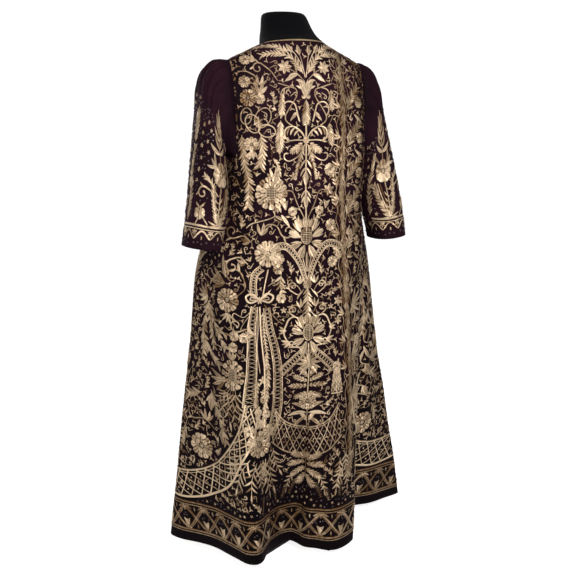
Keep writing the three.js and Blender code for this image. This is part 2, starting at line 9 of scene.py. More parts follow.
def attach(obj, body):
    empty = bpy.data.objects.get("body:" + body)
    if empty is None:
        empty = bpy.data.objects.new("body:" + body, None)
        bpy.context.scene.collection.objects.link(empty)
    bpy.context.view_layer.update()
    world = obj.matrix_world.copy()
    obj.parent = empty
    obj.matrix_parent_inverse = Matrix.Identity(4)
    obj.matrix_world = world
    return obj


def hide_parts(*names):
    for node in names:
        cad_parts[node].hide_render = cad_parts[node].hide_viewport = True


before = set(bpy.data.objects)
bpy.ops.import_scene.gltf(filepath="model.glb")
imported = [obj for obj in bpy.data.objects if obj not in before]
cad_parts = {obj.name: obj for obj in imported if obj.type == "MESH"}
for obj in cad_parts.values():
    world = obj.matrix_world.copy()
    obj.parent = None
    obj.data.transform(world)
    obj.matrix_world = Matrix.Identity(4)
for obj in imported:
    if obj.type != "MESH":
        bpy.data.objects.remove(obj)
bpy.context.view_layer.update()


# ------------ the garment's sizes
HEM_Z = 30.0
UNDERARM_Z = 1095.0
ARMHOLE_X = 182.0
NECK_HALF = 86.0
SHOULDER_Y = 24.0  # the shoulders' ridge, from back to front
NECK_Z = 1376.0
SHOULDER_END_Z = 1333.0
NAPE_Z = 1381.0
THROAT_Z = 1334.0
RIDGE_RISE = 26.0  # how much the ridge would rise over the open neck
RIDGE_ROUND = 2.3  # how fully the cloth rounds over the ridge
NAPE_ROUND = 3.6
CHEST_HALF = 192.0
CHEST_SQUARE = 4.0
SEAM = 0.3  # the gap between neighbouring pieces
CLOTH = 2.0  # velvet and lining together
FOLD_EASE = 1.15  # above 1, the folds open later on their way down
PARTING_TOP = 1.2
PARTING_HEM = 26.0
SLEEVE_BOXY = 2.3  # 2 is an ellipse
BACK_END = 0.4  # the share of the sleeve's round that its back seam takes, and its front seam too
GATHERS = 9
LEVEL = 1240.0  # above this height the design follows the cloth over the shoulders

CHEST_SHARE = (ARMHOLE_X / CHEST_HALF) ** (CHEST_SQUARE / 2)
CHEST_SEAM = math.degrees(math.asin(CHEST_SHARE))


def table(names, rows):
    """Named columns from rows of numbers."""
    return dict(zip(names.split(), np.array(rows, float).T))


# The body's smooth outline at a height, and the angles of its seams from the middle of the back.
BODY = table(
    "z half back mid front square back_seam front_seam",
    [
        (1095, CHEST_HALF, 110, 8, -108, CHEST_SQUARE, CHEST_SEAM, 180 - CHEST_SEAM),
        (1030, 192, 108, 4, -108, 3.6, 61, 119),
        (950, 204, 110, -10, -118, 2.9, 53, 127),
        (813, 250, 118, -32, -152, 2.3, 41, 138),
        (590, 276, 130, -34, -190, 2.2, 35, 145),
        (354, 304, 148, -28, -218, 2.2, 29, 150),
        (HEM_Z, 345, 165, -28, -240, 2.2, 24, 154),
    ],
)

# The hem's folds. around runs from -4 at the right front edge over 0 at the middle of the back to 4 at
# the left front edge, and whole numbers from 1 are seams. start is the height where a fold begins.
HEM = table(
    "around x y start",
    [
        (-4.0, -14, -236, 900), (-3.7, -76, -252, 800), (-3.45, -130, -212, 760), (-3.22, -182, -240, 840),
        (-3.0, -232, -222, 900), (-2.75, -262, -172, 860), (-2.55, -312, -182, 900), (-2.35, -352, -132, 940),
        (-2.15, -386, -92, 960), (-2.0, -404, -58, 980), (-1.88, -345, -44, 980), (-1.74, -282, -32, 960),
        (-1.6, -222, -38, 980), (-1.46, -168, -20, 1010), (-1.33, -142, 34, 1030), (-1.18, -136, 92, 1030),
        (-1.07, -132, 136, 1000), (-0.96, -116, 156, 1000), (-0.72, -70, 178, 860), (-0.5, -36, 176, 760),
        (-0.28, -8, 150, 680), (0.0, 19, 124, 600), (0.16, 32, 82, 540), (0.38, 58, 76, 560),
        (0.62, 92, 92, 660), (0.82, 120, 114, 780), (1.0, 147, 150, 880), (1.13, 171, 163, 960),
        (1.26, 193, 150, 980), (1.42, 208, 116, 960), (1.58, 224, 74, 940), (1.73, 243, 24, 960),
        (1.86, 272, -18, 960), (2.0, 312, -62, 980), (2.15, 328, -102, 960), (2.38, 300, -146, 900),
        (2.58, 292, -200, 900), (2.78, 252, -236, 880), (3.0, 206, -212, 880), (3.25, 158, -206, 800),
        (3.48, 116, -244, 780), (3.74, 62, -226, 800), (4.0, 14, -238, 900),
    ],
)

# The left sleeve's sections from the armhole to the cuff.
SLEEVE = table(
    "out_x out_z in_x in_z mid_y half_depth gather",
    [
        (198, 1334, 194, 1103, 4, 68, 1.4),
        (216, 1327, 196.5, 1100, 2, 71, 3.4),
        (236, 1308, 198, 1092, 0, 73, 3.6),
        (249, 1277, 198.4, 1082, 2, 73, 3.2),
        (256, 1226, 197.6, 1064, 8, 72, 1.8),
        (269, 1156, 197, 1034, 20, 70, 0),
        (283, 1079, 199, 997, 32, 69, 0),
        (296, 1000, 206, 950, 43, 67, 0),
        (307, 934, 216, 908, 49, 65, 0),
        (317, 878, 225, 866, 50, 64, 0),
    ],
)

# Soft creases pressed into the body: from a place to a place, how wide, and how far out (or in, below 0).
# across is the way round the cloth from the middle of the back.
CREASES = table(
    "top_across top_z low_across low_z half_width rise",
    [
        (-16, 480, -24, 60, 13, 4.2), (16, 430, 20, 60, 10, -4.0), (112, 560, 140, 60, 12, 3.4),
        (78, 640, 92, 60, 14, -2.6), (150, 760, 168, 90, 14, 2.4),
        (128, 900, 120, 560, 12, -1.8), (-60, 760, -84, 120, 14, -2.0), (-122, 880, -118, 420, 12, 1.8),
        (168, 1180, 150, 980, 10, 1.8), (-166, 1170, -150, 1000, 10, 1.8), (146, 1290, 120, 1150, 11, -1.6),
        (-142, 1290, -118, 1160, 11, -1.6), (40, 1120, 30, 930, 13, 1.1), (-38, 1100, -34, 900, 13, 1.2),
        (222, 980, 246, 420, 15, 2.6), (268, 900, 318, 200, 14, -2.4), (300, 760, 372, 90, 16, 2.4),
        (352, 880, 428, 160, 15, -2.2), (-228, 960, -252, 380, 15, 2.4), (-274, 900, -330, 210, 14, -2.6),
        (-312, 720, -388, 100, 16, 2.2), (-360, 860, -440, 150, 15, -2.0), (420, 820, 540, 120, 17, 2.6),
        (-424, 800, -548, 130, 17, 2.4), (470, 760, 610, 80, 16, -2.4), (-476, 740, -604, 90, 16, -2.2),
        (520, 700, 690, 90, 18, 2.4), (-528, 690, -684, 90, 18, 2.6),
    ],
)


# ------------ small maths
def mix(a, b, t):
    return a + (b - a) * t


def ease(t):
    t = np.clip(t, 0, 1)
    return t * t * (3 - 2 * t)


def smooth(keys, values, place):
    """A smooth curve through values at sorted keys. The values' last axis goes with the keys."""
    last = len(keys) - 1
    i = np.clip(np.searchsorted(keys, place, side="right") - 1, 0, last - 1)
    before, after = np.maximum(i - 1, 0), np.minimum(i + 2, last)
    span = keys[i + 1] - keys[i]
    t = (place - keys[i]) / span
    start, end = values[..., i], values[..., i + 1]
    leaving = (end - values[..., before]) / (keys[i + 1] - keys[before]) * span
    arriving = (values[..., after] - start) / (keys[after] - keys[i]) * span
    t2, t3 = t * t, t * t * t
    ends = (2 * t3 - 3 * t2 + 1) * start + (t3 - 2 * t2 + t) * leaving
    return ends + (3 * t2 - 2 * t3) * end + (t3 - t2) * arriving


def along(rows, key, column, place):
    """One column's value at a place in another, sorted column of a table."""
    keys, values = rows[key], rows[column]
    if keys[-1] < keys[0]:
        keys, values = keys[::-1], values[::-1]
    return smooth(keys, values, np.clip(place, keys[0], keys[-1]))


def fuller(wave, roundness):
    """A sine or cosine made fuller, for a rounded square in place of an ellipse."""
    return np.sign(wave) * np.abs(wave) ** (2 / roundness)


def unit(v):
    return v / np.maximum(np.linalg.norm(v, axis=-1, keepdims=True), 1e-9)


# ------------ the cloth's surface
def evened(t):
    """Turns an even share of the chest's width into a share of its angle."""
    return np.arcsin(CHEST_SHARE * t**2) / np.arcsin(CHEST_SHARE)


def smooth_body(around, z):
    """The body's point at a height, without folds."""
    here = {name: along(BODY, "z", name, z) for name in BODY}
    q = np.abs(around)
    back, front = np.radians(here["back_seam"]), np.radians(here["front_seam"])
    angle = np.where(q <= 1, back * evened(np.clip(q, 0, 1)), mix(back, np.pi / 2, q - 1))
    angle = np.where(q > 2, mix(np.pi / 2, front, q - 2), angle)
    angle = np.where(q > 3, np.pi - (np.pi - front) * evened(np.clip(4 - q, 0, 1)), angle)
    cosine = np.cos(angle)
    depth = np.where(cosine > 0, here["back"] - here["mid"], here["mid"] - here["front"])
    x = here["half"] * fuller(np.sin(angle), here["square"]) * np.where(around < 0, -1, 1)
    return x, here["mid"] + depth * fuller(cosine, here["square"])


def skirt(around, z):
    """The body's point at a height below the underarm, pulled into the hem's folds."""
    x, y = smooth_body(around, z)
    hem_x, hem_y = smooth_body(around, np.full_like(z, HEM_Z))
    start = along(HEM, "around", "start", around)
    pull = np.clip((start - z) / (start - HEM_Z), 0, 1) ** FOLD_EASE
    x = x + pull * (along(HEM, "around", "x", around) - hem_x)
    y = y + pull * (along(HEM, "around", "y", around) - hem_y)
    return np.stack([x, y, z], -1)


def shoulder_line(x):
    """The height of the shoulders' ridge, carried on over the open neck."""
    out = np.abs(x) / NECK_HALF
    slope = (NECK_Z - SHOULDER_END_Z) / (ARMHOLE_X - NECK_HALF)
    shoulder = NECK_Z - (np.abs(x) - NECK_HALF) * slope
    return np.where(out >= 1, shoulder, NECK_Z + RIDGE_RISE * (1 - out * out))


def top_edge(x, is_back):
    """The height of the neckline and the shoulder seams."""
    out = np.clip(np.abs(x) / NECK_HALF, 0, 1)
    middle = np.where(is_back, NAPE_Z, THROAT_Z)
    z = mix(NECK_Z, middle, np.sqrt(1 - out * out) ** 1.3)
    return np.where(np.abs(x) >= NECK_HALF, shoulder_line(x), z)


def yoke(around, fall):
    """Above the underarm, where the cloth falls from the shoulders' ridge into the chest."""
    is_back = np.abs(around) <= 1
    x = np.where(around < 0, -1, 1) * ARMHOLE_X * np.where(is_back, np.abs(around), 4 - np.abs(around))
    z = mix(top_edge(x, is_back), UNDERARM_Z, fall)
    t = np.clip((shoulder_line(x) - z) / (shoulder_line(x) - UNDERARM_Z), 0, 1)
    central = np.maximum(0, 1 - (x / (1.5 * NECK_HALF)) ** 2) ** 2
    roundness = np.where(is_back, mix(RIDGE_ROUND, NAPE_ROUND, central), RIDGE_ROUND)
    u = (1 - (1 - t) ** roundness) ** (1 / roundness)
    depth = skirt(around, np.full_like(around, UNDERARM_Z))[..., 1] - SHOULDER_Y
    return np.stack([x, SHOULDER_Y + u * depth, z], -1)


def cloth(around, down):
    """The cloth's outer face. down is 0 at the top edge, 1 at the underarm and 2 at the hem."""
    around, down = np.broadcast_arrays(np.asarray(around, float), np.asarray(down, float))
    upper = yoke(around, np.clip(down, 0, 1))
    lower = skirt(around, mix(UNDERARM_Z, HEM_Z, np.clip(down - 1, 0, 1)))
    return np.where((down < 1)[..., None], upper, lower)


def lengths(points, axis):
    """How far each point of a grid is along one axis from the first."""
    step = np.linalg.norm(np.diff(points, axis=axis), axis=-1)
    start = np.zeros_like(np.take(step, [0], axis=axis))
    return np.concatenate([start, np.cumsum(step, axis=axis)], axis=axis)


# The plain part's columns on the back and the fronts, as shares of a piece's width. Below the underarm the
# finer cloth is a smooth surface through them.
NECK_STEPS = NECK_HALF * np.sin(np.linspace(0, np.pi / 2, 9))
FEW = np.concatenate([NECK_STEPS, np.linspace(NECK_HALF, ARMHOLE_X, 6)[1:]]) / ARMHOLE_X
FEW_COLUMNS = {
    "back": np.concatenate([-FEW[:0:-1], FEW]),
    "front_left": 4 - FEW[::-1],
    "front_right": FEW - 4,
}


class Panel:
    """One cut piece of the body: its grid of outer points, their outward directions, and where each is."""

    def __init__(self, name, around, down):
        self.name, self.around, self.down = name, around, down
        grid_a, grid_d = np.meshgrid(around, down)
        self.outer = cloth(grid_a, grid_d)
        if name in FEW_COLUMNS:
            few = FEW_COLUMNS[name]
            points = np.moveaxis(cloth(*np.meshgrid(few, down)), 1, -1)
            even = np.moveaxis(smooth(few, points, around), -1, 1)
            self.outer = mix(self.outer, even, ease((grid_d - 1) / 0.1)[..., None])
        self.is_front = abs(around[len(around) // 2]) > 3
        self.measure()

    def facing(self):
        """The outward direction at each point."""
        across = np.gradient(self.outer, axis=1)
        fall = np.gradient(self.outer, axis=0)
        return unit(np.cross(across, fall))

    def measure(self):
        """Up the cloth from the hem: heights to the upper chest, then the length of cloth beyond."""
        rise = np.linalg.norm(np.diff(self.outer, axis=0), axis=-1)
        up = self.outer[..., 2].copy()
        for i in range(len(self.down) - 2, -1, -1):
            beyond = up[i + 1] >= LEVEL
            up[i] = np.where(beyond, up[i + 1] + rise[i], up[i])
        self.up = up


MIDDLE = 54  # the number of the back's middle column

upper_rows = np.linspace(0, 1, 61) ** 1.5
lower_rows = np.linspace(1, 2, 165)[1:]
long_rows = np.concatenate([upper_rows, lower_rows])
short_rows = np.concatenate([[1.0], lower_rows])
back_columns = np.sin(np.linspace(-1, 1, 2 * MIDDLE + 1) * 1.25) / math.sin(1.25)
front_columns = 4 - back_columns[MIDDLE:][::-1]
gore_columns = np.linspace(1, 2, 49)

PANELS = {"back": Panel("back", back_columns, long_rows)}
for side, sign in (("left", 1), ("right", -1)):
    for part, columns, rows in (
        ("gore_back", gore_columns, short_rows),
        ("gore_front", gore_columns + 1, short_rows),
        ("front", front_columns, long_rows),
    ):
        name = f"{part}_{side}"
        PANELS[name] = Panel(name, columns if sign > 0 else -columns[::-1], rows)


def measure_back(piece):
    """How far round the cloth each point of the back is from its middle, row by row."""
    run = lengths(piece.outer, 1)
    piece.across = run - run[:, [MIDDLE]]


def measure_on(piece, edge, near, far):
    """The same for the next piece round: its near column starts where the last piece's edge ends."""
    run = lengths(piece.outer, 1)
    lower = len(short_rows)
    piece.across = run[-lower:] - run[-lower:, [near]] + edge[:, None]
    edge = piece.across[:, far]
    if piece.is_front:
        upper = run[:-lower] - run[:-lower, [far]] + edge[0]
        piece.across = np.concatenate([upper, piece.across])
    return edge


measure_back(PANELS["back"])
for side, near, far in (("left", 0, -1), ("right", -1, 0)):
    edge = PANELS["back"].across[-len(short_rows):, far]
    for part in ("gore_back", "gore_front", "front"):
        edge = measure_on(PANELS[f"{part}_{side}"], edge, near, far)


def pressed(piece):
    """How far the creases move each point of a panel."""
    moved = np.zeros_like(piece.across)
    for top, top_z, low, low_z, half, rise in zip(*CREASES.values()):
        t = (top_z - piece.outer[..., 2]) / (top_z - low_z)
        away = piece.across - mix(top, low, t)
        fade = ease(t / 0.25) * ease((1.12 - t) / 0.3)
        moved += rise * fade * np.exp(-((away / half) ** 2))
    grain = 0.5 * np.sin(piece.across / 31 + 1.3 * np.sin(piece.outer[..., 2] / 120))
    grain += 0.4 * np.sin(piece.outer[..., 2] / 47 + 2 * np.sin(piece.across / 70))
    return moved + grain * ease((UNDERARM_Z + 150 - piece.outer[..., 2]) / 200)


def parted(piece):
    """How far a front swings away from the middle, more towards its edge and the hem."""
    share = np.clip((THROAT_Z - piece.outer[..., 2]) / (THROAT_Z - HEM_Z), 0, 1) ** 1.5
    gap = mix(PARTING_TOP, PARTING_HEM, share) / 2
    return gap * (np.sign(piece.around) * (np.abs(piece.around) - 3) ** 2)[None, :]


for piece in PANELS.values():
    piece.outer = piece.outer + piece.facing() * pressed(piece)[..., None]
    if piece.is_front:
        piece.outer[..., 0] += parted(piece)
    piece.normal = piece.facing()


# ------------ sleeves
def sleeve_curve(column, v):
    """A sleeve section's measure, v from 0 at the first section to 1 at the cuff."""
    rows = {"at": np.linspace(0, 1, len(SLEEVE["out_x"])), column: SLEEVE[column]}
    return along(rows, "at", column, v)


def armhole(share):
    """The sleeve's first ring: down the back's side, along under the arm, and up the front's side."""
    def fallen(part):
        return (1 - fuller(np.cos(part * 2 * np.pi), SLEEVE_BOXY)) / 2

    full = fallen(np.array(BACK_END))
    down_back = cloth(1.0, np.clip(fallen(share) / full, 0, 1 - 1e-9))
    down_front = cloth(3.0, np.clip(fallen(1 - share) / full, 0, 1 - 1e-9))
    under = cloth(mix(1, 3, np.clip((share - BACK_END) / (1 - 2 * BACK_END), 0, 1)), 1.0)
    low = under + np.array([0, 0, SEAM])
    ring = np.where((share >= 1 - BACK_END)[:, None], down_front, low)
    ring = np.where((share <= BACK_END)[:, None], down_back, ring)
    return ring + np.array([SEAM, 0, 0])


SLEEVE_ROUND = 132
SLEEVE_ROWS = 110


def gathered(v, angle, depth):
    """The gathers of the sleeve's head, round its upper side."""
    turn = np.where(angle > np.pi, angle - 2 * np.pi, angle)
    cap = np.maximum(0, np.cos(turn * 0.9)) ** 0.5
    pleats = np.cos(GATHERS * 2 * angle) + 0.3 * np.sin(31 * angle + 9 * v)
    return depth * pleats * cap


def slack(v, angle):
    """Soft bends at the elbow and below it, most on the inside."""
    inside = 0.5 - 0.5 * np.cos(angle)
    wave = 1.5 * inside * np.sin(26 * v + 1.4 * np.cos(angle - 0.6))
    wave = wave * ease((v - 0.36) / 0.2) * ease((1.0 - v) / 0.12)
    return wave + 0.9 * np.sin(3 * angle + 7 * v) * ease((v - 0.3) / 0.3)


def sleeve_grid():
    share = np.linspace(0, 1, SLEEVE_ROUND + 1)
    angle = share * 2 * np.pi
    c = fuller(np.cos(angle), SLEEVE_BOXY)
    s = fuller(np.sin(angle), SLEEVE_BOXY)
    rows = [armhole(share)]
    for v in np.linspace(0, 1, SLEEVE_ROWS):
        here = {column: sleeve_curve(column, v) for column in SLEEVE}
        grow = 1 + (gathered(v, angle, here["gather"]) + slack(v, angle)) / 100
        out = (1 + c * grow) / 2
        rows.append(np.stack([
            mix(here["in_x"], here["out_x"], out),
            here["mid_y"] + s * here["half_depth"] * grow,
            mix(here["in_z"], here["out_z"], out),
        ], -1))
    return np.array(rows)


class Sleeve:
    """The left sleeve's outer points and directions; the right one is its mirror."""

    def __init__(self):
        self.outer = sleeve_grid()
        self.outer[:, -1] = self.outer[:, 0]
        round_way = np.gradient(self.outer, axis=1)
        seam = self.outer[:, 1] - self.outer[:, -2]
        round_way[:, 0] = round_way[:, -1] = seam / 2
        away = np.gradient(self.outer, axis=0)
        self.normal = unit(np.cross(away, round_way))
        middle = self.outer.mean(1, keepdims=True)
        if ((self.outer - middle) * self.normal).sum() < 0:
            self.normal = -self.normal
        run = lengths(self.outer, 1)
        half = SLEEVE_ROUND // 2
        self.across = run - run[:, [0]]
        self.across[:, half + 1:] -= run[:, [-1]]
        down = lengths(self.outer, 0)
        self.up = down[[-1]] - down


sleeve = Sleeve()


# ------------ where a design lies
def read(grid, i, j):
    """A grid's values between its points, at places counted in rows and columns."""
    i0 = np.clip(i.astype(int), 0, grid.shape[0] - 2)
    j0 = np.clip(j.astype(int), 0, grid.shape[1] - 2)
    past_i, past_j = i - i0, j - j0
    if grid.ndim > 2:
        past_i, past_j = past_i[..., None], past_j[..., None]
    low = grid[i0, j0] * (1 - past_i) + grid[i0 + 1, j0] * past_i
    high = grid[i0, j0 + 1] * (1 - past_i) + grid[i0 + 1, j0 + 1] * past_i
    return low * (1 - past_j) + high * past_j


GROUND_STEP = 4.0


class Ground:
    """Cloth to draw on: a place is a complex number, millimetres across and millimetres up."""

    def __init__(self, names, outer, normal, across, up, spans):
        self.names, self.outer, self.normal, self.spans = names, outer, normal, spans
        rows = outer.shape[0]
        step = GROUND_STEP
        self.low = complex(np.nanmin(across) - step, np.nanmin(up) - step)
        width = int((np.nanmax(across) - self.low.real) / step) + 3
        height = int((np.nanmax(up) - self.low.imag) / step) + 3
        self.step = step
        wanted_across = self.low.real + step * np.arange(width)
        wanted_up = self.low.imag + step * np.arange(height)
        column_at = np.full((rows, width), np.nan)
        up_at = np.full((rows, width), np.nan)
        for r in range(rows):
            real = np.flatnonzero(~np.isnan(across[r]))
            column_at[r] = np.interp(wanted_across, across[r, real], real, np.nan, np.nan)
            up_at[r] = np.interp(wanted_across, across[r, real], up[r, real], np.nan, np.nan)
        self.rows_at = np.full((width, height), np.nan)
        self.columns_at = np.full((width, height), np.nan)
        for i in range(width):
            real = np.flatnonzero(~np.isnan(up_at[:, i]))[::-1]
            if len(real) > 1:
                self.rows_at[i] = np.interp(wanted_up, up_at[real, i], real, np.nan, np.nan)
                self.columns_at[i] = np.interp(wanted_up, up_at[real, i], column_at[real, i], np.nan, np.nan)

    def find(self, places):
        """Row and column numbers of places; not a number off the cloth."""
        at_cell = (places - self.low) / self.step
        i = np.clip(at_cell.real, 0, self.rows_at.shape[0] - 1.001)
        j = np.clip(at_cell.imag, 0, self.rows_at.shape[1] - 1.001)
        return read(self.rows_at, i, j), read(self.columns_at, i, j)

    def lay(self, places, lift):
        """Points that lie on the cloth, lifted off it, and the cloth's direction at each."""
        row, column = (np.nan_to_num(found) for found in self.find(places))
        facing = unit(read(self.normal, row, column))
        return read(self.outer, row, column) + facing * lift[..., None], facing

    def piece_of(self, places):
        """The number of the panel that each place is on, or -1."""
        column = self.find(places)[1]
        found = np.full(len(places), -1)
        for k, (first, last) in enumerate(self.spans):
            found[(column >= first - 0.5) & (column < last + 0.5)] = k
        return found


def joined_ground(names):
    """One ground over neighbouring panels; the short ones have no cloth above the underarm."""
    full = len(long_rows)
    parts, spans, start = [], [], 0
    for name in names:
        piece = PANELS[name]
        missing = full - piece.outer.shape[0]
        pad = [(missing, 0), (0, 0)]
        parts.append((
            np.pad(piece.outer, pad + [(0, 0)]),
            np.pad(piece.normal, pad + [(0, 0)]),
            np.pad(piece.across, pad, constant_values=np.nan),
            np.pad(piece.up, pad, constant_values=np.nan),
        ))
        columns = piece.outer.shape[1]
        spans.append((start, start + columns - 1))
        start += columns
    return Ground(names, *(np.concatenate(group, 1) for group in zip(*parts)), spans)


chance = np.random.default_rng(11)


def curve(points, step=3.2, least=5):
    """An even run of places along a smooth curve through a few."""
    p = np.asarray(points, complex)
    if len(p) == 2:
        dense = p[0] + (p[1] - p[0]) * np.linspace(0, 1, 9)
    else:
        q = np.concatenate([[2 * p[0] - p[1]], p, [2 * p[-1] - p[-2]]])
        t = np.linspace(0, 1, 13)[:-1]
        a, b, c, d = (q[k: len(q) - 3 + k, None] for k in range(4))
        square, cube = 2 * a - 5 * b + 4 * c - d, 3 * b - a - 3 * c + d
        dense = 0.5 * (2 * b + (c - a) * t + square * t**2 + cube * t**3)
        dense = np.append(dense.ravel(), p[-1])
    run = np.concatenate([[0], np.cumsum(np.abs(np.diff(dense)))])
    n = int(np.clip(run[-1] / step, least, 400))
    want = np.linspace(0, run[-1], n)
    return np.interp(want, run, dense.real) + 1j * np.interp(want, run, dense.imag)


def spaced(path, number):
    """A path's place at a number between those of its own places."""
    numbers = np.arange(len(path))
    return np.interp(number, numbers, path.real) + 1j * np.interp(number, numbers, path.imag)


def heading(path):
    """A path's direction at each of its places."""
    way = np.gradient(path)
    return way / np.maximum(np.abs(way), 1e-9)


def turned(degrees):
    return np.exp(1j * np.radians(degrees))


def leaning(degrees, reach=1):
    """A way off straight up, towards +X above 0, and how far it goes."""
    return 1j * turned(-degrees) * reach


def at(x, y):
    return complex(x, y)


AXIS = 6.0  # the back's design has its middle a little to the wearer's left


def mid(x, y):
    """A place measured from the middle of the back's design."""
    return at(AXIS + x, y)


# A stroke's sections: places from edge to edge, how high each is, and how light each is painted: painted
# shade at the edges and in the groove, a painted highlight on the crest.
PLAIN = np.array([[-1, 0, 1], [0, 1, 0], [0, 1, 0]], float)
GROOVED = np.array([[-1, -0.5, 0, 0.5, 1], [0, 0.95, 0.5, 0.95, 0], [0, 1, 0.15, 1, 0]])
STROKE_FOOT = 0.12  # how far over the cloth its edges lie


def strip(path, half, rise, tone, grooved):
    """A raised stroke: its places, lifts, runs, tones, painted crest light and faces."""
    out = 1j * heading(path)
    spread, high, crest = GROOVED if grooved else PLAIN
    n, k = len(path), len(spread)
    swell = np.sqrt(np.clip(half / max(half.max(), 1e-6), 0, 1))
    run = np.concatenate([[0], np.cumsum(np.abs(np.diff(path)))])
    index = np.arange(n * k).reshape(n, k)
    quad = np.stack([index[:-1, :-1], index[:-1, 1:], index[1:, 1:], index[1:, :-1]], -1)
    return (
        (path[:, None] + out[:, None] * half[:, None] * spread).ravel(),
        (STROKE_FOOT + rise * swell[:, None] * high).ravel(),
        np.repeat(run, k),
        np.full(n * k, tone),
        np.tile(crest, n),
        quad.reshape(-1, 4),
    )


class Design:
    """Raised stitches and spangles drawn on one ground."""

    cell = 2.5  # the size of the cells that say where thread lies

    def __init__(self, ground, axis=0.0):
        self.ground, self.axis, cell = ground, axis, self.cell
        self.sides = (1,)  # 1 draws a motif as given, -1 its mirror, and both may be drawn
        self.bright = 0.5
        self.stitches, self.spangles = [], []
        width, height = ground.rows_at.shape
        shape = (int(width * ground.step / cell) + 1, int(height * ground.step / cell) + 1)
        x, y = np.meshgrid(np.arange(shape[0]), np.arange(shape[1]), indexing="ij")
        # Cells off the cloth count as taken.
        self.taken = np.isnan(ground.find(ground.low + cell * (x + 1j * y))[0])

    def tarnish_and_painted_shade(self, place):
        """How much the thread is darkened at a place, by tarnish and by painted shade."""
        return 0.0

    # -- one raised stroke
    def stroke(self, path, half, rise, tone=None, grooved=False):
        path = np.asarray(path, complex)
        half = np.broadcast_to(np.asarray(half, float), path.shape).copy()
        tone = self.bright if tone is None else tone
        # darkened by tarnish and by painted shade where the place calls for it
        tone = tone + chance.normal(0, 0.17) - self.tarnish_and_painted_shade(path.mean())
        rise = rise * chance.uniform(0.75, 1.35)
        for side in self.sides:
            p = path if side > 0 else 2 * self.axis - np.conj(path)
            self.stitches.append((p, half, rise, tone, grooved))
            self.mark(p, half)

    def mark(self, places, half):
        """Notes where a stroke lies, so that no filling goes over it."""
        cells = (places - self.ground.low) / self.cell
        reach = np.ceil((half + 0.6) / self.cell).astype(int)
        reach = np.maximum(reach - 1, 0)
        for x, y, r in zip(cells.real.astype(int), cells.imag.astype(int), reach):
            if x - r >= 0 and y - r >= 0:
                self.taken[x - r: x + r + 1, y - r: y + r + 1] = True

    def is_free(self, cell, reach):
        x, y = int(cell.real), int(cell.imag)
        if x < reach or y < reach:
            return False
        return not self.taken[x - reach: x + reach + 1, y - reach: y + reach + 1].any()

    # -- small forms
    def leaf(self, base, tip, width, bend=0.0, rise=1.1, tone=None, full=0.85):
        length = abs(tip - base)
        n = int(np.clip(length / 2.6, 5, 11))
        t = np.linspace(0, 1, n)
        middle = (base + tip) / 2 + 1j * (tip - base) * bend
        path = (1 - t) ** 2 * base + 2 * t * (1 - t) * middle + t**2 * tip
        half = width / 2 * np.sin(np.pi * np.clip(t, 0.03, 0.985) ** full) ** 0.75
        self.stroke(path, half, rise, tone, grooved=width > 7.5)

    def cord(self, points, width, tone=None, taper=(1, 1)):
        """A thread along a curve, finer at both ends."""
        path = curve(points, 3.4)
        half = width / 2 * np.linspace(taper[0], taper[1], len(path))
        half[0] *= 0.5
        half[-1] *= 0.5
        self.stroke(path, half, 0.9, tone)

    def dot(self, place, radius, tone=None):
        self.leaf(place - 1j * radius, place + 1j * radius, radius * 1.9, 0, 1.3, tone, 1.0)

    def bud(self, place, up, tone=None):
        self.leaf(place, place + up, abs(up) * 0.46, 0, 1.5, tone)
        for way in (-1, 1):
            self.leaf(place, place + up * 0.62 * turned(34 * way), abs(up) * 0.2, -0.16 * way, 1.0, tone)

    def fan(self, place, directions, length, width, bend=0.12, tone=None):
        """Leaves from one point. directions are degrees as leaning has them."""
        for angle in directions:
            reach = length * (1 - 0.0016 * abs(angle)) * (0.9 + 0.2 * chance.random())
            tip = place + leaning(angle) * reach
            self.leaf(place, tip, width, -bend * np.sign(angle), tone=tone)

    def feather(self, place, up, pairs, width, spread=36, tone=None):
        """A leaf made of short paired blades along a rib."""
        length = abs(up)
        blade = width / 2 / math.sin(math.radians(spread)) * 1.05
        self.cord([place, place + up * 0.5, place + up * 0.92], 1.8, tone)
        for k in range(pairs):
            share = k / pairs
            grown = math.sin(math.pi * (0.22 + 0.68 * share)) ** 0.8
            foot = place + up * (0.04 + 0.84 * share)
            for way in (-1, 1):
                tip = foot + up / length * turned(way * spread) * blade * grown
                self.leaf(foot, tip, max(3.2, length / pairs * 0.66), -0.12 * way, 1.2, tone)
        self.leaf(place + up * 0.78, place + up, blade * 0.42, 0, 1.3, tone)

    def star(self, place, radius, petals, up=1j, tone=None):
        for k in range(petals):
            way = up / abs(up) * turned(360 * k / petals)
            self.leaf(place + way * radius * 0.12, place + way * radius, radius * 0.52, 0, 1.3, tone)
        self.dot(place, radius * 0.2, 0.75)

    def petal(self, place, way, near, far, width, tone, rise):
        t = np.linspace(0, 1, 8)
        path = place + way * (near + (far - near) * t)
        half = width / 2 * np.sin(np.pi * (0.1 + 0.82 * t)) ** 0.55 * (0.62 + 0.38 * t)
        self.stroke(path, half, rise, tone, grooved=True)

    def lattice(self, place, across, up, pitch=4.4):
        """Crossed threads in an oval, with bare velvet between them."""
        tone = 0.62
        for step, reach, way in ((1, up, 1j), (1j, across, 1)):
            size = across if step == 1 else up
            for offset in np.arange(-size + pitch / 2, size, pitch):
                half = reach * math.sqrt(max(0, 1 - (offset / size) ** 2))
                if half > 1.5:
                    centre = place + step * offset
                    thread = curve([centre - way * half, centre + way * half], 7, 3)
                    self.stroke(thread, 0.75, 0.5, tone)
        turn = np.linspace(0, 2 * np.pi, 26)
        rim = (across + 1) * np.cos(turn) + 1j * (up + 1) * np.sin(turn)
        self.stroke(place + rim, 1.5, 1.1, tone)

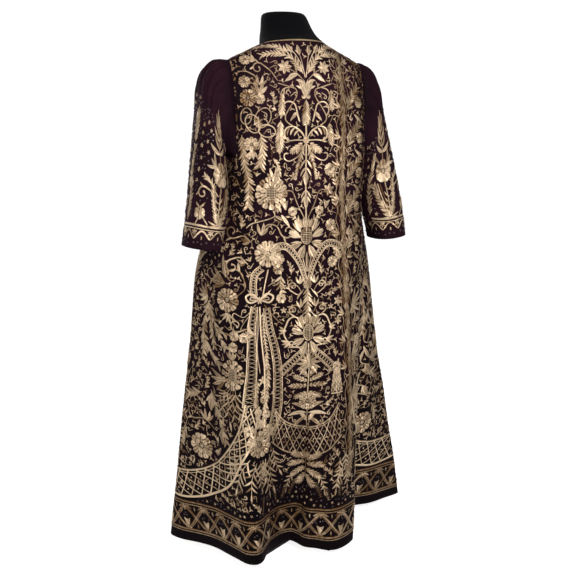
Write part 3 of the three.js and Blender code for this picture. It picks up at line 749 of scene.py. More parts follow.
    def rose(self, place, radius, petals, rows, centre="dots", tone=None, stretch=1.0):
        """Rings of petals round dots or a lattice."""
        tone = self.bright + 0.12 if tone is None else tone
        core = radius * (0.4 if centre == "lattice" else 0.24)
        ring = (radius - core) / rows
        for row in range(rows):
            near, far = core + ring * row * 0.92, core + ring * (row + 1)
            count = petals if row == rows - 1 else max(5, petals - 3 * (rows - 1 - row))
            for k in range(count):
                way = 1j * turned(360 * (k + 0.5 * (row % 2)) / count)
                way = complex(way.real, way.imag * stretch)
                width = 2 * math.pi * far * 1.04 / count
                self.petal(place, way, near, far, width, tone + chance.normal(0, 0.07), 1.8)
        if centre == "lattice":
            self.lattice(place, core * 0.84, core * 0.84 * stretch * 1.25, 4.2)
        else:
            for k in range(6):
                self.dot(place + core * 0.55 * turned(60 * k), core * 0.26, 0.75)
            self.dot(place, core * 0.28, 0.8)

    def tulip(self, place, up, tone=None):
        size = abs(up)
        for way in (-1, 1):
            tip = place + up + 1j * up * 0.42 * way
            self.leaf(place, tip, size * 0.42, -0.22 * way, 1.5, tone)
        self.leaf(place, place + up * 0.9, size * 0.36, 0, 1.7, tone)

    def scroll(self, points, turns, radius, hand, width, tone=None, leafy=True):
        """A stem that ends in a volute with a small leaf on its back."""
        path = curve(points, 3.4)
        way = heading(path)[-1]
        centre = path[-1] + 1j * hand * way * radius
        t = np.linspace(0, 1, max(12, int(18 * turns)))
        shrink = 1 - 0.72 * t
        coil = centre + (path[-1] - centre) * shrink * np.exp(1j * hand * 2 * np.pi * turns * t)
        whole = np.concatenate([path, coil[1:]])
        share = np.concatenate([np.linspace(0.45, 1, len(path)), np.linspace(1, 0.55, len(coil) - 1)])
        self.stroke(whole, width / 2 * share, 1.1, tone)
        self.dot(coil[-1], width * 0.7, tone)
        if leafy:
            for share, size in ((0.1, 1.0), (0.34, 0.8)):
                k = int(share * (len(coil) - 1))
                out = (coil[k] - centre) / max(abs(coil[k] - centre), 1e-6)
                tip = coil[k] + out * turned(60 * hand) * radius * size
                self.leaf(coil[k], tip, radius * 0.32, 0.15 * hand, 1.1, tone)

    def sprig(self, place, up, pairs, width, tone=None, ending="bud", bend=0.1):
        """A bent stem with paired leaves and a bud or a star on its tip."""
        path = curve([place, place + up * 0.5 + 1j * up * bend, place + up])
        self.stroke(path, np.linspace(1.2, 0.7, len(path)), 0.8, tone)
        ways = heading(path)
        length = abs(up)
        for k in range(pairs):
            share = (k + 0.6) / (pairs + 0.7)
            i = int(share * (len(path) - 1))
            reach = length * (0.42 - 0.18 * share)
            for way in (-1, 1):
                leaf_tip = path[i] + ways[i] * turned(42 * way) * reach
                self.leaf(path[i], leaf_tip, width, -0.14 * way, tone=tone)
        tip = path[-1]
        if ending == "bud":
            self.leaf(tip - ways[-1] * 2, tip + ways[-1] * length * 0.26, width * 1.25, 0, 1.4, tone)
        elif ending == "star":
            self.star(tip, length * 0.24, 5, ways[-1], tone)

    def garland(self, points, leaf, gap, width, spread=38, stem=2.6, tone=None):
        """Leaves in turn on both sides of a stem."""
        path = curve(points, 3.0)
        self.stroke(path, np.full(len(path), stem / 2), 1.0, tone)
        aim = heading(path)
        count = max(2, int(np.abs(np.diff(path)).sum() / gap))
        for k in range(count):
            i = int((k + 0.5) / count * (len(path) - 1))
            size = leaf * (0.85 + 0.3 * chance.random())
            for way in (-1, 1):
                lean = spread + chance.normal(0, 5)
                tip = path[i] + aim[i] * turned(way * lean) * size
                self.leaf(path[i], tip, width, -0.14 * way, tone=tone)

    def net_band(self, points, half_start, half_end, pitch, cord, tone):
        """A ribbon of crossed threads between two doubled cords."""
        path = curve(points, 3.0)
        out = 1j * heading(path)
        half = np.linspace(half_start, half_end, len(path))
        for way in (-1, 1):
            self.stroke(path + out * half * way, cord / 2, 1.2, tone)
            self.stroke(path + out * (half - cord * 1.15) * way, cord * 0.3, 0.8, tone)
        count = max(2, int(np.abs(np.diff(path)).sum() / pitch))
        marks = np.linspace(0, len(path) - 1, count + 1)

        def spot(mark, way):
            return spaced(path, mark) + spaced(out, mark) * spaced(half, mark).real * way

        for a, b in zip(marks[:-1], marks[1:]):
            for way in (-1, 1):
                self.stroke(curve([spot(a, way), spot(b, -way)], 5, 4), 0.75, 0.7, tone)
            self.dot((spot(a, 1) + spot(b, -1)) / 2, 1.4, tone)

    def net_swag(self, upper, lower, across, cord, thread, tone=None):
        """A knotted net that hangs between two cords."""
        top, bottom = curve(upper, 3.2), curve(lower, 3.2)
        for edge in (top, bottom):
            self.stroke(edge, cord / 2, 1.5, tone)
        inner_top = top + 1j * heading(top) * -cord * 1.25
        self.stroke(inner_top, 0.8, 0.8, tone)

        def spot(u, v):
            high, low = spaced(top, u * (len(top) - 1)), spaced(bottom, u * (len(bottom) - 1))
            return high + (low - high) * v

        t = np.linspace(0, 1, 12)
        for k in range(-2, across + 2):
            for lean in (-2.2, 2.2):
                u = (k + 0.5 + lean * (t - 0.5)) / across
                inside = (u >= 0) & (u <= 1)
                if inside.sum() > 3:
                    self.stroke(spot(u[inside], t[inside]), thread / 2, 0.9, tone)
        for k in range(across):
            for v in (0.28, 0.72):
                self.dot(spot((k + 0.5) / across, v), 2.6, tone)

    def bow(self, place, size):
        """Two double loops round a star."""
        tone = 0.66
        outer = ((0.55, 0.5), (1.05, 0.28), (0.75, -0.16), (0.1, 0.02))
        inner = ((0.2, 0.12), (0.6, 0.26), (0.72, 0.06), (0.25, 0.04))
        for way in (-1, 1):
            self.cord([place, *(place + size * complex(x * way, y) for x, y in outer)], size * 0.15, tone)
            self.cord([place + size * complex(x * way, y) for x, y in inner], size * 0.09, tone)
            tip = place + size * complex(0.9 * way, 0.85)
            self.leaf(place, tip, size * 0.16, -0.1 * way, tone=tone)
        self.star(place, size * 0.3, 7, 1j, tone)

    def tassel(self, place, width, length, tone):
        """Strands of short leaves under a rose, bound at the head and the foot."""
        self.rose(place + 1j * 4, width * 0.36, 6, 1, tone=tone)
        for k in range(7):
            x = (k - 3) / 3
            top = place + complex(x * width * 0.2, -3)
            low = place + complex(x * width * 0.5, -length)
            for row in range(5):
                share = (row + 0.5 * (k % 2)) / 5.5
                end = mix(top, low, share + 0.19)
                self.leaf(mix(top, low, share), end, width / 6.8, 0, 1.3, tone)
        for share in (0.16, 0.97):
            y = place - 1j * length * share
            half = width * mix(0.24, 0.52, share)
            self.stroke(curve([y - half, y - 1j, y + half], 4, 6), 1.7, 1.6, tone)

    def fern(self, place, up):
        """Single thin stitches either side of a line."""
        tone = 0.3
        self.stroke(curve([place, place + up], 5, 4), 0.5, 0.4, tone)
        steps = max(3, int(abs(up) / 5))
        for k in range(steps):
            foot = place + up * (k + 0.5) / steps
            for way in (-1, 1):
                tip = foot + up / abs(up) * turned(52 * way) * 8 * (1 - 0.4 * k / steps)
                self.stroke(curve([foot, tip], 4, 3), 0.45, 0.4, tone)

    # -- filling what is left
    def fill(self, radius, draw, where, gap):
        """Draws a motif of a radius wherever it finds room, in a loose grid taken in random order."""
        width, height = self.taken.shape
        step = max(1, int(radius * gap / self.cell))
        x, y = np.meshgrid(np.arange(step, width - step, step), np.arange(step, height - step, step))
        cells = x.ravel() + 1j * y.ravel()
        right = chance.uniform(-0.5, 0.5, len(cells))
        up = chance.uniform(-0.5, 0.5, len(cells))
        cells = cells + step * (right + 1j * up)
        reach = max(1, int(round(radius / self.cell)))
        for cell in chance.permutation(cells):
            place = self.ground.low + self.cell * cell
            if self.is_free(cell, reach) and where(place):
                draw(place)

    def spangle(self, place):
        if self.is_free((place - self.ground.low) / self.cell, 1):
            self.spangles.append(place)
            self.mark(np.array([place]), np.array([0.0]))

    # -- meshes
    def on_cloth(self, path, half):
        """The part of a stroke that lies on cloth, or nothing if too little of it does."""
        good = ~np.isnan(self.ground.find(path)[0])
        if good.sum() < 3:
            return None
        first, last = np.flatnonzero(good)[[0, -1]]
        if last - first < 2 or not good[first: last + 1].all():
            return None
        return path[first: last + 1], half[first: last + 1]

    def sew(self):
        """One joined mesh of raised stitches for each piece of cloth."""
        homes = self.ground.piece_of(np.array([s[0][len(s[0]) // 2] for s in self.stitches]))
        sewn = {}
        for home, name in enumerate(self.ground.names):
            strips = []
            for (path, half, rise, tone, grooved), where in zip(self.stitches, homes):
                part = self.on_cloth(path, half) if where == home else None
                if part is not None:
                    strips.append(strip(*part, rise, tone, grooved))
            if strips:
                sewn[name] = self.joined(strips)
        return sewn

    def joined(self, strips):
        """Points on the cloth, faces, and one number a point by name, of all the strips together."""
        places, lifts, runs, tones, painted_crest_lights = (np.concatenate(column) for column in list(zip(*strips))[:5])
        starts = np.cumsum([0] + [len(s[0]) for s in strips[:-1]])
        quads = np.concatenate([s[5] + start for s, start in zip(strips, starts)])
        points, facing = self.ground.lay(places, lifts)
        a, b, d = points[quads[0, 0]], points[quads[0, 1]], points[quads[0, 3]]
        if np.dot(np.cross(b - a, d - a), facing[quads[0, 0]]) < 0:
            quads = quads[:, ::-1]
        return points, quads, {"run": runs, "tone": tones, "crest": painted_crest_lights}


# ------------ the back and the gores
class BodyDesign(Design):
    def tarnish_and_painted_shade(self, place):
        """Tarnish and painted shade, most along the armholes where the sleeves shade the cloth, fading out
        under them.
        """
        x, y = abs(place.real), place.imag
        return 0.26 * math.exp(-(((x - 188) / 46) ** 2)) * min(1, max(0, (y - 800) / 120))


def vase_of_flowers(d):
    """The middle of the shoulders: a cup, its branches, and the looped ribbons under it."""
    d.sides = (1, -1)
    d.bright = 0.68
    cup = mid(2, 1240)
    for lean, reach in ((5, 46), (14, 47), (24, 46)):
        d.leaf(cup, cup + leaning(lean, reach), 9, 0.1, 1.6)
    d.leaf(cup, cup + at(10, 6), 8, -0.2, 1.8)
    d.leaf(mid(6, 1278), mid(27, 1284), 8, 0.16, 1.6)
    d.leaf(mid(12, 1262), mid(27, 1270), 6, 0.16)
    # Branches over the shoulders.
    d.cord([mid(1, 1290), mid(6, 1312), mid(20, 1342), mid(34, 1362)], 3, taper=(1, 0.7))
    d.bud(mid(31, 1352), at(12, 24))
    d.bud(mid(13, 1346), at(2, 26))
    d.cord([mid(2, 1292), mid(8, 1330), mid(13, 1350)], 2.4)
    d.cord([mid(8, 1286), mid(26, 1302), mid(44, 1312)], 2.8)
    d.star(mid(54, 1316), 18, 7, at(1, 0.4))
    d.leaf(mid(24, 1300), mid(26, 1326), 7)
    d.leaf(mid(22, 1298), mid(48, 1288), 13, 0.12, 1.7)
    d.leaf(mid(30, 1292), mid(56, 1280), 9, 0.12, 1.5)
    d.garland([mid(6, 1300), mid(34, 1338), mid(74, 1352), mid(108, 1350)], 18, 9, 5, 34)
    d.garland([mid(40, 1350), mid(66, 1370), mid(96, 1380), mid(130, 1384)], 16, 8, 5, 34)
    d.scroll([mid(74, 1282), mid(90, 1306), mid(112, 1326)], 0.95, 16, -1, 4.6)
    d.fan(mid(128, 1336), (20, 54, 88), 24, 8, 0.2)
    # The upper ribbon: out from the cup, back, and across itself to the knot.
    d.cord([mid(74, 1276), mid(46, 1268), mid(28, 1262), mid(25, 1248), mid(34, 1232),
            mid(47, 1214), mid(57, 1196), mid(54, 1183), mid(35, 1170), mid(16, 1158),
            mid(3, 1142)], 3.8, 0.7)
    d.cord([mid(42, 1267), mid(60, 1262), mid(68, 1248), mid(62, 1234)], 4.4, 0.66, (0.6, 1))
    d.cord([mid(56, 1196), mid(64, 1208), mid(61, 1224), mid(48, 1232), mid(32, 1226),
            mid(26, 1210), mid(22, 1194), mid(18, 1182)], 4.6, 0.7, (0.7, 1))
    d.leaf(mid(24, 1202), mid(44, 1184), 8, 0.16, 1.5, 0.62)
    d.leaf(mid(26, 1206), mid(38, 1196), 5, 0.1)
    # Leafy volutes round the knot.
    d.cord([mid(2, 1141), mid(16, 1160), mid(38, 1171), mid(56, 1165), mid(60, 1149),
            mid(54, 1138)], 4.8, 0.7, (0.5, 1.1))
    for x, y, dx, dy in ((20, 1161, 14, -14), (32, 1167, 12, -18), (45, 1168, 8, -20)):
        d.leaf(mid(x, y), mid(x + dx, y + dy), 6.5, 0.24, 1.4, 0.62)
    d.dot(mid(52, 1140), 4.4, 0.72)
    d.cord([mid(4, 1136), mid(30, 1137), mid(54, 1134)], 3.4, 0.62)
    d.fan(mid(44, 1136), (64, 104), 20, 6)
    d.cord([mid(3, 1128), mid(14, 1106), mid(32, 1091), mid(49, 1085), mid(60, 1091),
            mid(60, 1103), mid(50, 1104)], 4.4, 0.66, (0.6, 1))
    d.feather(mid(10, 1130), at(36, -26), 5, 18, 36, 0.72)
    d.feather(mid(8, 1124), at(20, -22), 4, 9, 36, 0.5)
    d.garland([mid(6, 1124), mid(18, 1086), mid(30, 1044)], 15, 9, 5.5, 26, 2.8, 0.56)
    d.sides = (1,)
    d.feather(mid(0, 1238), at(0, -66), 8, 26, 30, 0.52)
    d.rose(mid(0, 1137), 9, 8, 1, tone=0.7)
    d.cord([mid(0, 1178), mid(0, 1070), mid(0, 960), mid(0, 905)], 4.4)
    d.sides = (1, -1)
    for y, reach in ((1088, 24), (1068, 22), (1010, 20), (996, 18)):
        d.leaf(mid(1, y), mid(reach * 0.7, y - reach), 6, 0.12)
    d.sides = (1,)
    d.bud(mid(0, 1058), at(0, -30), 0.7)
    d.tulip(mid(0, 1022), at(0, 20))
    d.leaf(mid(0, 1002), mid(0, 962), 15, 0, 1.8)


def middle_flower(d, y, wide=1.0):
    """A lattice-hearted flower with full petals."""
    d.sides = (1,)
    d.bright = 0.66
    d.lattice(mid(0, y), 15 * wide, 20)
    for k in range(7):
        x = (k - 3) / 3
        foot = mid(x * 13, y + 22)
        d.leaf(foot, foot + at(x * 12, 26 - 5 * abs(x)), 8.5, 0, 1.6)
    d.sides = (1, -1)
    for x, dy, lean, reach, width in (
        (17, 12, 24, 34, 15), (18, -2, 62, 34, 17), (15, -16, 108, 32, 16), (7, -24, 156, 34, 18),
    ):
        foot = mid(x * wide, y + dy)
        d.petal(foot, leaning(lean), 0, reach, width, 0.72, 2.2)
        d.leaf(foot, foot + leaning(lean - 18, reach * 0.95), 6, 0.1)
        d.leaf(foot, foot + leaning(lean + 18, reach * 0.95), 6, -0.1)


def middle_stems(d):
    d.sides = (1, -1)
    d.bright = 0.58
    # Star flowers on arching stems over the first large flower.
    d.cord([mid(3, 935), mid(24, 975), mid(38, 1008), mid(60, 1010)], 3.2)
    d.star(mid(66, 1010), 17, 6, at(0.2, 1))
    d.star(mid(36, 1046), 12, 5)
    d.cord([mid(14, 958), mid(28, 966), mid(36, 960)], 2.4)
    d.rose(mid(38, 958), 12, 6, 1, tone=0.7)
    d.tulip(mid(56, 962), at(4, 22))
    d.sprig(mid(14, 930), at(34, 14), 2, 5)
    middle_flower(d, 893)
    # The arched net ribbons and the knot they hang from.
    d.net_band([mid(3, 772), mid(22, 826), mid(56, 868), mid(92, 864), mid(112, 836)], 5, 10, 8, 3, 0.68)
    d.cord([mid(2, 800), mid(12, 838), mid(10, 856)], 2.6)
    d.sides = (1,)
    d.rose(mid(0, 768), 13, 8, 1, tone=0.62)
    d.leaf(mid(0, 852), mid(0, 800), 8)
    d.garland([mid(0, 760), mid(0, 720), mid(0, 672)], 19, 8.5, 6, 40, 3)
    d.sides = (1, -1)
    for y, size in ((778, 1.0), (716, 0.92)):
        d.scroll([mid(10, y - 22), mid(26, y - 36), mid(48, y - 24)], 1.05, 13 * size, 1, 4.2)
        d.fan(mid(22, y - 8), (-34, -4, 28), 24 * size, 7)
        d.leaf(mid(14, y - 28), mid(30, y - 48), 6.5, 0.2)
        d.star(mid(68, y - 12), 9, 5)
    # The second large flower, in two great leafy arms.
    middle_flower(d, 640, 0.9)
    d.scroll([mid(10, 604), mid(44, 606), mid(68, 640), mid(58, 674)], 0.7, 22, 1, 5.2, leafy=False)
    d.fan(mid(62, 650), (56, 84, 112), 24, 7.5)
    d.fan(mid(54, 620), (80, 110, 140), 26, 7.5)
    d.net_band([mid(8, 598), mid(38, 572), mid(76, 536)], 9, 11, 8, 3, tone=0.6)
    d.sides = (1,)
    d.cord([mid(0, 612), mid(0, 560), mid(0, 470)], 3.6)
    # A palmette and the leaves below it.
    d.sides = (1, -1)
    d.bright = 0.5
    for lean in (8, 30, 54, 80, 108, 136):
        foot = mid(1, 552)
        d.leaf(foot, foot + leaning(lean, 36), 9.5, 0.1, 1.5)
    for y, lean, reach in ((508, 66, 46), (496, 88, 52), (478, 112, 40), (520, 40, 36)):
        d.feather(mid(3, y), leaning(lean, reach), 5, 15)
    d.sides = (1,)
    d.rose(mid(0, 452), 24, 9, 2, tone=0.55)
    d.cord([mid(0, 430), mid(2, 400), mid(0, 372)], 3.4)
    d.sides = (1, -1)
    d.bright = 0.46
    for y, lean, reach in ((430, 64, 44), (420, 96, 50), (408, 128, 44), (398, 38, 30)):
        d.leaf(mid(4, y), mid(4, y) + leaning(lean, reach), 11, 0.16)
    # The net swag hung across the middle.
    d.sides = (1, -1)
    d.bright = 0.5
    d.net_swag([mid(0, 378), mid(34, 386), mid(66, 404), mid(92, 440)],
               [mid(0, 300), mid(34, 304), mid(68, 318), mid(104, 350)], 6, 4.6, 2.6)
    d.sides = (1,)
    d.cord([mid(0, 300), mid(0, 270), mid(0, 236)], 3)
    d.rose(mid(0, 300), 9, 7, 1)
    d.sides = (1, -1)
    for y, lean, reach in ((286, 62, 48), (276, 92, 56), (262, 120, 52), (246, 146, 46)):
        d.feather(mid(3, y), leaning(lean, reach), 6, 19)
    d.sprig(mid(36, 244), at(22, -46), 3, 5)
    d.fern(mid(30, 226), at(20, -44))
    d.fern(mid(58, 214), at(14, -40))


def left_of_middle(d):
    """Between the middle and the seam, on the wearer's left."""
    d.sides = (1,)
    d.bright = 0.6
    d.feather(at(70, 1252), at(4, -60), 6, 20, 34, 0.62)
    d.feather(at(76, 1186), at(4, -84), 9, 26, 34, 0.7)
    d.cord([at(64, 1262), at(70, 1226), at(76, 1190)], 3)
    d.garland([at(96, 1092), at(84, 1076), at(80, 1052), at(92, 1030)], 11, 7, 6, 30, 6, 0.62)
    # Flowers and looped ribbons beside the armhole.
    d.bright = 0.55
    d.rose(at(160, 1340), 16, 7, 1)
    d.scroll([at(182, 1306), at(160, 1306), at(140, 1296)], 0.95, 13, 1, 4.6)
    d.fan(at(128, 1272), (-60, -24, 10, 44), 26, 8, 0.2)
    d.rose(at(166, 1280), 15, 7, 1, tone=0.72)
    d.rose(at(158, 1240), 21, 8, 2, tone=0.6)
    d.rose(at(128, 1238), 13, 7, 1)
    d.fan(at(130, 1250), (-50, -20, 12, 44), 34, 10)
    turn = np.linspace(0, 2 * np.pi, 22)
    for x, y, wide, high, tilt in (
        (122, 1192, 19, 26, 34), (148, 1178, 17, 24, -28), (112, 1160, 22, 15, 10), (164, 1196, 14, 20, 8),
    ):
        ring = wide * np.cos(turn) + 1j * high * np.sin(turn)
        d.stroke(at(x, y) + ring * turned(tilt), 1.7, 1.1)
    d.star(at(134, 1182), 14, 6)
    d.rose(at(152, 1128), 18, 8, 1)
    d.fan(at(150, 1112), (130, 158, 186, 214), 34, 8)
    d.garland([at(176, 1150), at(170, 1090), at(158, 1030), at(160, 970)], 22, 9, 6.5, 36)
    d.garland([at(128, 1150), at(124, 1110), at(130, 1070)], 22, 9, 7, 36)
    # The two large roses with a leafy scroll between them.
    d.rose(at(100, 1006), 42, 13, 2, "lattice", tone=0.64)
    d.fan(at(92, 1040), (-34, -6, 24, 52), 30, 9)
    d.fan(at(84, 974), (150, 178, 206), 28, 8)
    d.cord([at(96, 962), at(92, 948), at(110, 940), at(150, 930), at(166, 918)], 3.4)
    d.leaf(at(92, 948), at(62, 934), 9)
    d.leaf(at(74, 950), at(52, 918), 10)
    d.scroll([at(130, 902), at(112, 926), at(88, 922), at(76, 900)], 0.9, 20, -1, 4.6)
    d.fan(at(128, 900), (-40, -12, 16), 34, 9)
    d.rose(at(112, 852), 34, 11, 2, tone=0.68)
    d.rose(at(84, 838), 15, 7, 1, tone=0.7)
    d.rose(at(86, 812), 14, 7, 1, tone=0.6)
    d.fan(at(136, 868), (-70, -96, -120), 30, 8)
    d.sprig(at(78, 800), at(-4, -56), 4, 7)
    d.rose(at(80, 736), 13, 7, 1, tone=0.72)
    # Volutes between the roses and the flank.
    for x, y, hand in ((152, 880, 1), (164, 826, -1), (148, 640, 1)):
        d.scroll([at(x, y), at(x + 20, y + 18), at(x + 46, y + 12)], 0.95, 18, hand, 5.2, 0.56)
        d.fan(at(x + 6, y + 4), (30, 66, 104), 26, 8, 0.24)
    d.sides = (1, -1)
    for y, hand in ((758, 1), (706, -1), (596, 1)):
        d.scroll([mid(16, y - 12), mid(30, y + 8), mid(46, y + 8)], 0.95, 10, hand, 4.4, 0.56)
    d.sides = (1,)
    # Ribbons to the bow, and the long net bands that hang from it.
    d.net_band([at(128, 816), at(146, 800), at(152, 772), at(150, 744)], 8, 8, 7, 3.2, tone=0.6)
    d.cord([at(112, 812), at(118, 788), at(124, 760), at(128, 740)], 4.2)
    d.bow(at(136, 732), 34)
    right_band = [at(150, 716), at(158, 660), at(160, 600), at(164, 530), at(172, 452)]
    d.net_band(right_band, 8, 17, 10, 3.4, 0.56)
    left_band = [at(118, 712), at(112, 660), at(98, 600), at(90, 530), at(88, 460), at(98, 404), at(116, 366)]
    d.net_band(left_band, 8, 15, 10, 3.4, 0.5)
    d.cord([at(136, 716), at(134, 640), at(128, 560), at(126, 470), at(134, 400)], 4.4, 0.62)
    d.cord([at(142, 716), at(142, 660), at(146, 600), at(140, 540)], 2.6, 0.62)
    d.garland([at(128, 700), at(126, 640), at(118, 580)], 12, 9, 4, 34, 2)
    d.star(at(132, 520), 13, 5, 1j, 0.85)
    d.star(at(130, 488), 9, 5, 1j, 0.85)
    # Cords swung out to small hanging flowers.
    d.cord([at(146, 722), at(176, 690), at(204, 700), at(206, 676), at(192, 664)], 2.6, 0.65)
    d.cord([at(148, 712), at(180, 672), at(188, 656)], 2.4, 0.65)
    for x, y in ((206, 640), (180, 636), (210, 610)):
        d.cord([at(x, y + 26), at(x, y + 8)], 2)
        d.rose(at(x, y), 13, 5, 1, tone=0.74)
    d.cord([at(124, 720), at(104, 694), at(88, 676), at(76, 668)], 3, 0.66)
    # The flower cluster where the bands meet, and the sprays that fall from it.
    d.bright = 0.6
    d.rose(at(150, 352), 36, 12, 2, tone=0.66)
    d.garland([at(124, 590), at(118, 520), at(126, 440), at(136, 396)], 15, 9, 7, 30, 2.6, 0.56)
    d.garland([at(146, 520), at(150, 460), at(146, 400)], 15, 9, 7, 30, 2.6, 0.6)
    for x, y in ((128, 470), (146, 436), (122, 430), (136, 404)):
        d.rose(at(x, y), 11, 5, 1, tone=0.78)
    d.rose(at(118, 384), 18, 8, 1, tone=0.7)
    d.rose(at(176, 392), 14, 7, 1)
    for x, y, dx, dy in ((150, 306, 6, -74), (134, 308, -8, -96), (166, 304, 26, -84), (120, 318, -14, -100),
                         (182, 316, 52, -84), (196, 330, 62, -66), (142, 306, -2, -52), (104, 330, -20, -70)):
        d.sprig(at(x, y), at(dx, dy), 4, 5.4, 0.66 - 0.1 * chance.random(), bend=0.06)
    d.fern(at(214, 232), at(44, -26))
    d.fern(at(150, 206), at(16, -50))
    d.fern(at(108, 222), at(-12, -48))


def left_flank(d):
    """From the seam round to the side; the other side has the same."""
    d.sides = (1, -1)
    d.bright = 0.5
    d.rose(at(221, 733), 31, 9, 2, tone=0.6)
    d.fan(at(221, 700), (-130, -160, 170, 140, 112), 36, 7)
    d.scroll([at(196, 742), at(172, 766), at(180, 800)], 0.9, 24, -1, 4.4)
    d.scroll([at(214, 790), at(240, 806), at(262, 786)], 0.8, 20, 1, 4.2)
    d.leaf(at(222, 792), at(228, 850), 11, -0.1)
    d.fan(at(226, 776), (40, 62, 84, 106), 62, 12, 0.05)
    d.fan(at(292, 736), (8, 36, 62, 90, 118, 150), 40, 9)
    for points in (
        [at(290, 722), at(286, 660), at(276, 600)],
        [at(290, 722), at(262, 652), at(232, 606)],
        [at(290, 722), at(310, 650), at(318, 580)],
        [at(262, 652), at(244, 650), at(228, 640)],
    ):
        d.garland(points, 24, 15, 8, 30, 2.6)
    d.garland([at(318, 640), at(300, 590), at(262, 560)], 26, 16, 10, 26, 2.6)
    d.rose(at(216, 536), 34, 11, 2, "lattice", tone=0.58, stretch=1.2)
    d.fan(at(216, 576), (-36, -12, 12, 36), 26, 8)
    d.fan(at(240, 520), (70, 92, 112, 134), 64, 12, 0.06)
    for dx, dy in ((-26, -88), (-8, -96), (12, -92), (30, -84), (48, -70)):
        d.sprig(at(216 + dx * 0.3, 500), at(dx, dy), 3, 5.4)
    d.scroll([at(160, 470), at(180, 496), at(176, 524)], 0.8, 15, -1, 3.6)
    d.garland([at(300, 480), at(284, 440), at(262, 392), at(254, 350)], 26, 17, 9, 30, 2.6)
    d.bud(at(300, 470), at(6, -48))
    d.bud(at(268, 380), at(0, -40))
    d.scroll([at(300, 372), at(330, 396), at(364, 392)], 0.9, 22, 1, 4.6)
    d.fan(at(322, 392), (-50, -22, 6, 34), 34, 8)
    d.sides = (1,)
    d.rose(at(352, 318), 35, 10, 2, tone=0.6)
    d.sides = (-1,)
    d.rose(at(376, 304), 33, 10, 2, tone=0.6)
    for x, y, dx, dy in (
        (346, 606, 24, 6), (352, 548, 26, -16), (344, 486, 26, -26), (350, 420, 22, -34), (342, 664, 20, 22),
    ):
        d.cord([at(322, y + 30), at(330, y + 6), at(x, y)], 3.6)
        d.bud(at(x, y), at(dx, dy))
        d.leaf(at(328, y + 12), at(334, y + 44), 9, 0.16)
    d.sides = (1, -1)
    d.sprig(at(398, 360), at(30, -56), 4, 8)
    d.garland([at(330, 470), at(370, 460), at(410, 440)], 30, 16, 9, 28, 2.6)
    # Further round, where only the side shows it.
    d.rose(at(404, 560), 31, 10, 2, tone=0.56)
    d.fan(at(404, 528), (150, 176, 202, 128), 40, 8)
    d.garland([at(404, 596), at(396, 660), at(370, 730), at(340, 800), at(310, 870)], 30, 15, 8, 32, 3)
    d.garland([at(470, 640), at(450, 720), at(420, 800)], 28, 15, 8, 32, 3)
    d.rose(at(490, 430), 32, 10, 2, "lattice", tone=0.55)
    d.fan(at(490, 468), (-40, -14, 14, 40), 30, 8)
    d.garland([at(458, 420), at(430, 400), at(400, 396)], 22, 12, 7)
    d.garland([at(512, 460), at(540, 520), at(540, 600)], 28, 15, 8, 32, 3)
    d.rose(at(560, 640), 26, 9, 2)
    d.rose(at(520, 780), 24, 9, 2)
    d.scroll([at(560, 560), at(590, 540), at(612, 510)], 0.9, 22, -1, 4.4)
    # The large net swag above the hem.
    d.bright = 0.56
    upper = [at(180, 462), at(206, 388), at(250, 330), at(304, 282), at(366, 250)]
    upper += [at(440, 234), at(510, 238), at(566, 266), at(610, 320), at(640, 400)]
    lower = [at(142, 452), at(164, 372), at(206, 306), at(258, 236), at(326, 194)]
    lower += [at(400, 166), at(480, 158), at(560, 172), at(626, 220), at(672, 290)]
    # its thread is given a lighter tone throughout, a painted highlight
    d.net_swag(upper, lower, 20, 5.8, 3.4, 0.78)


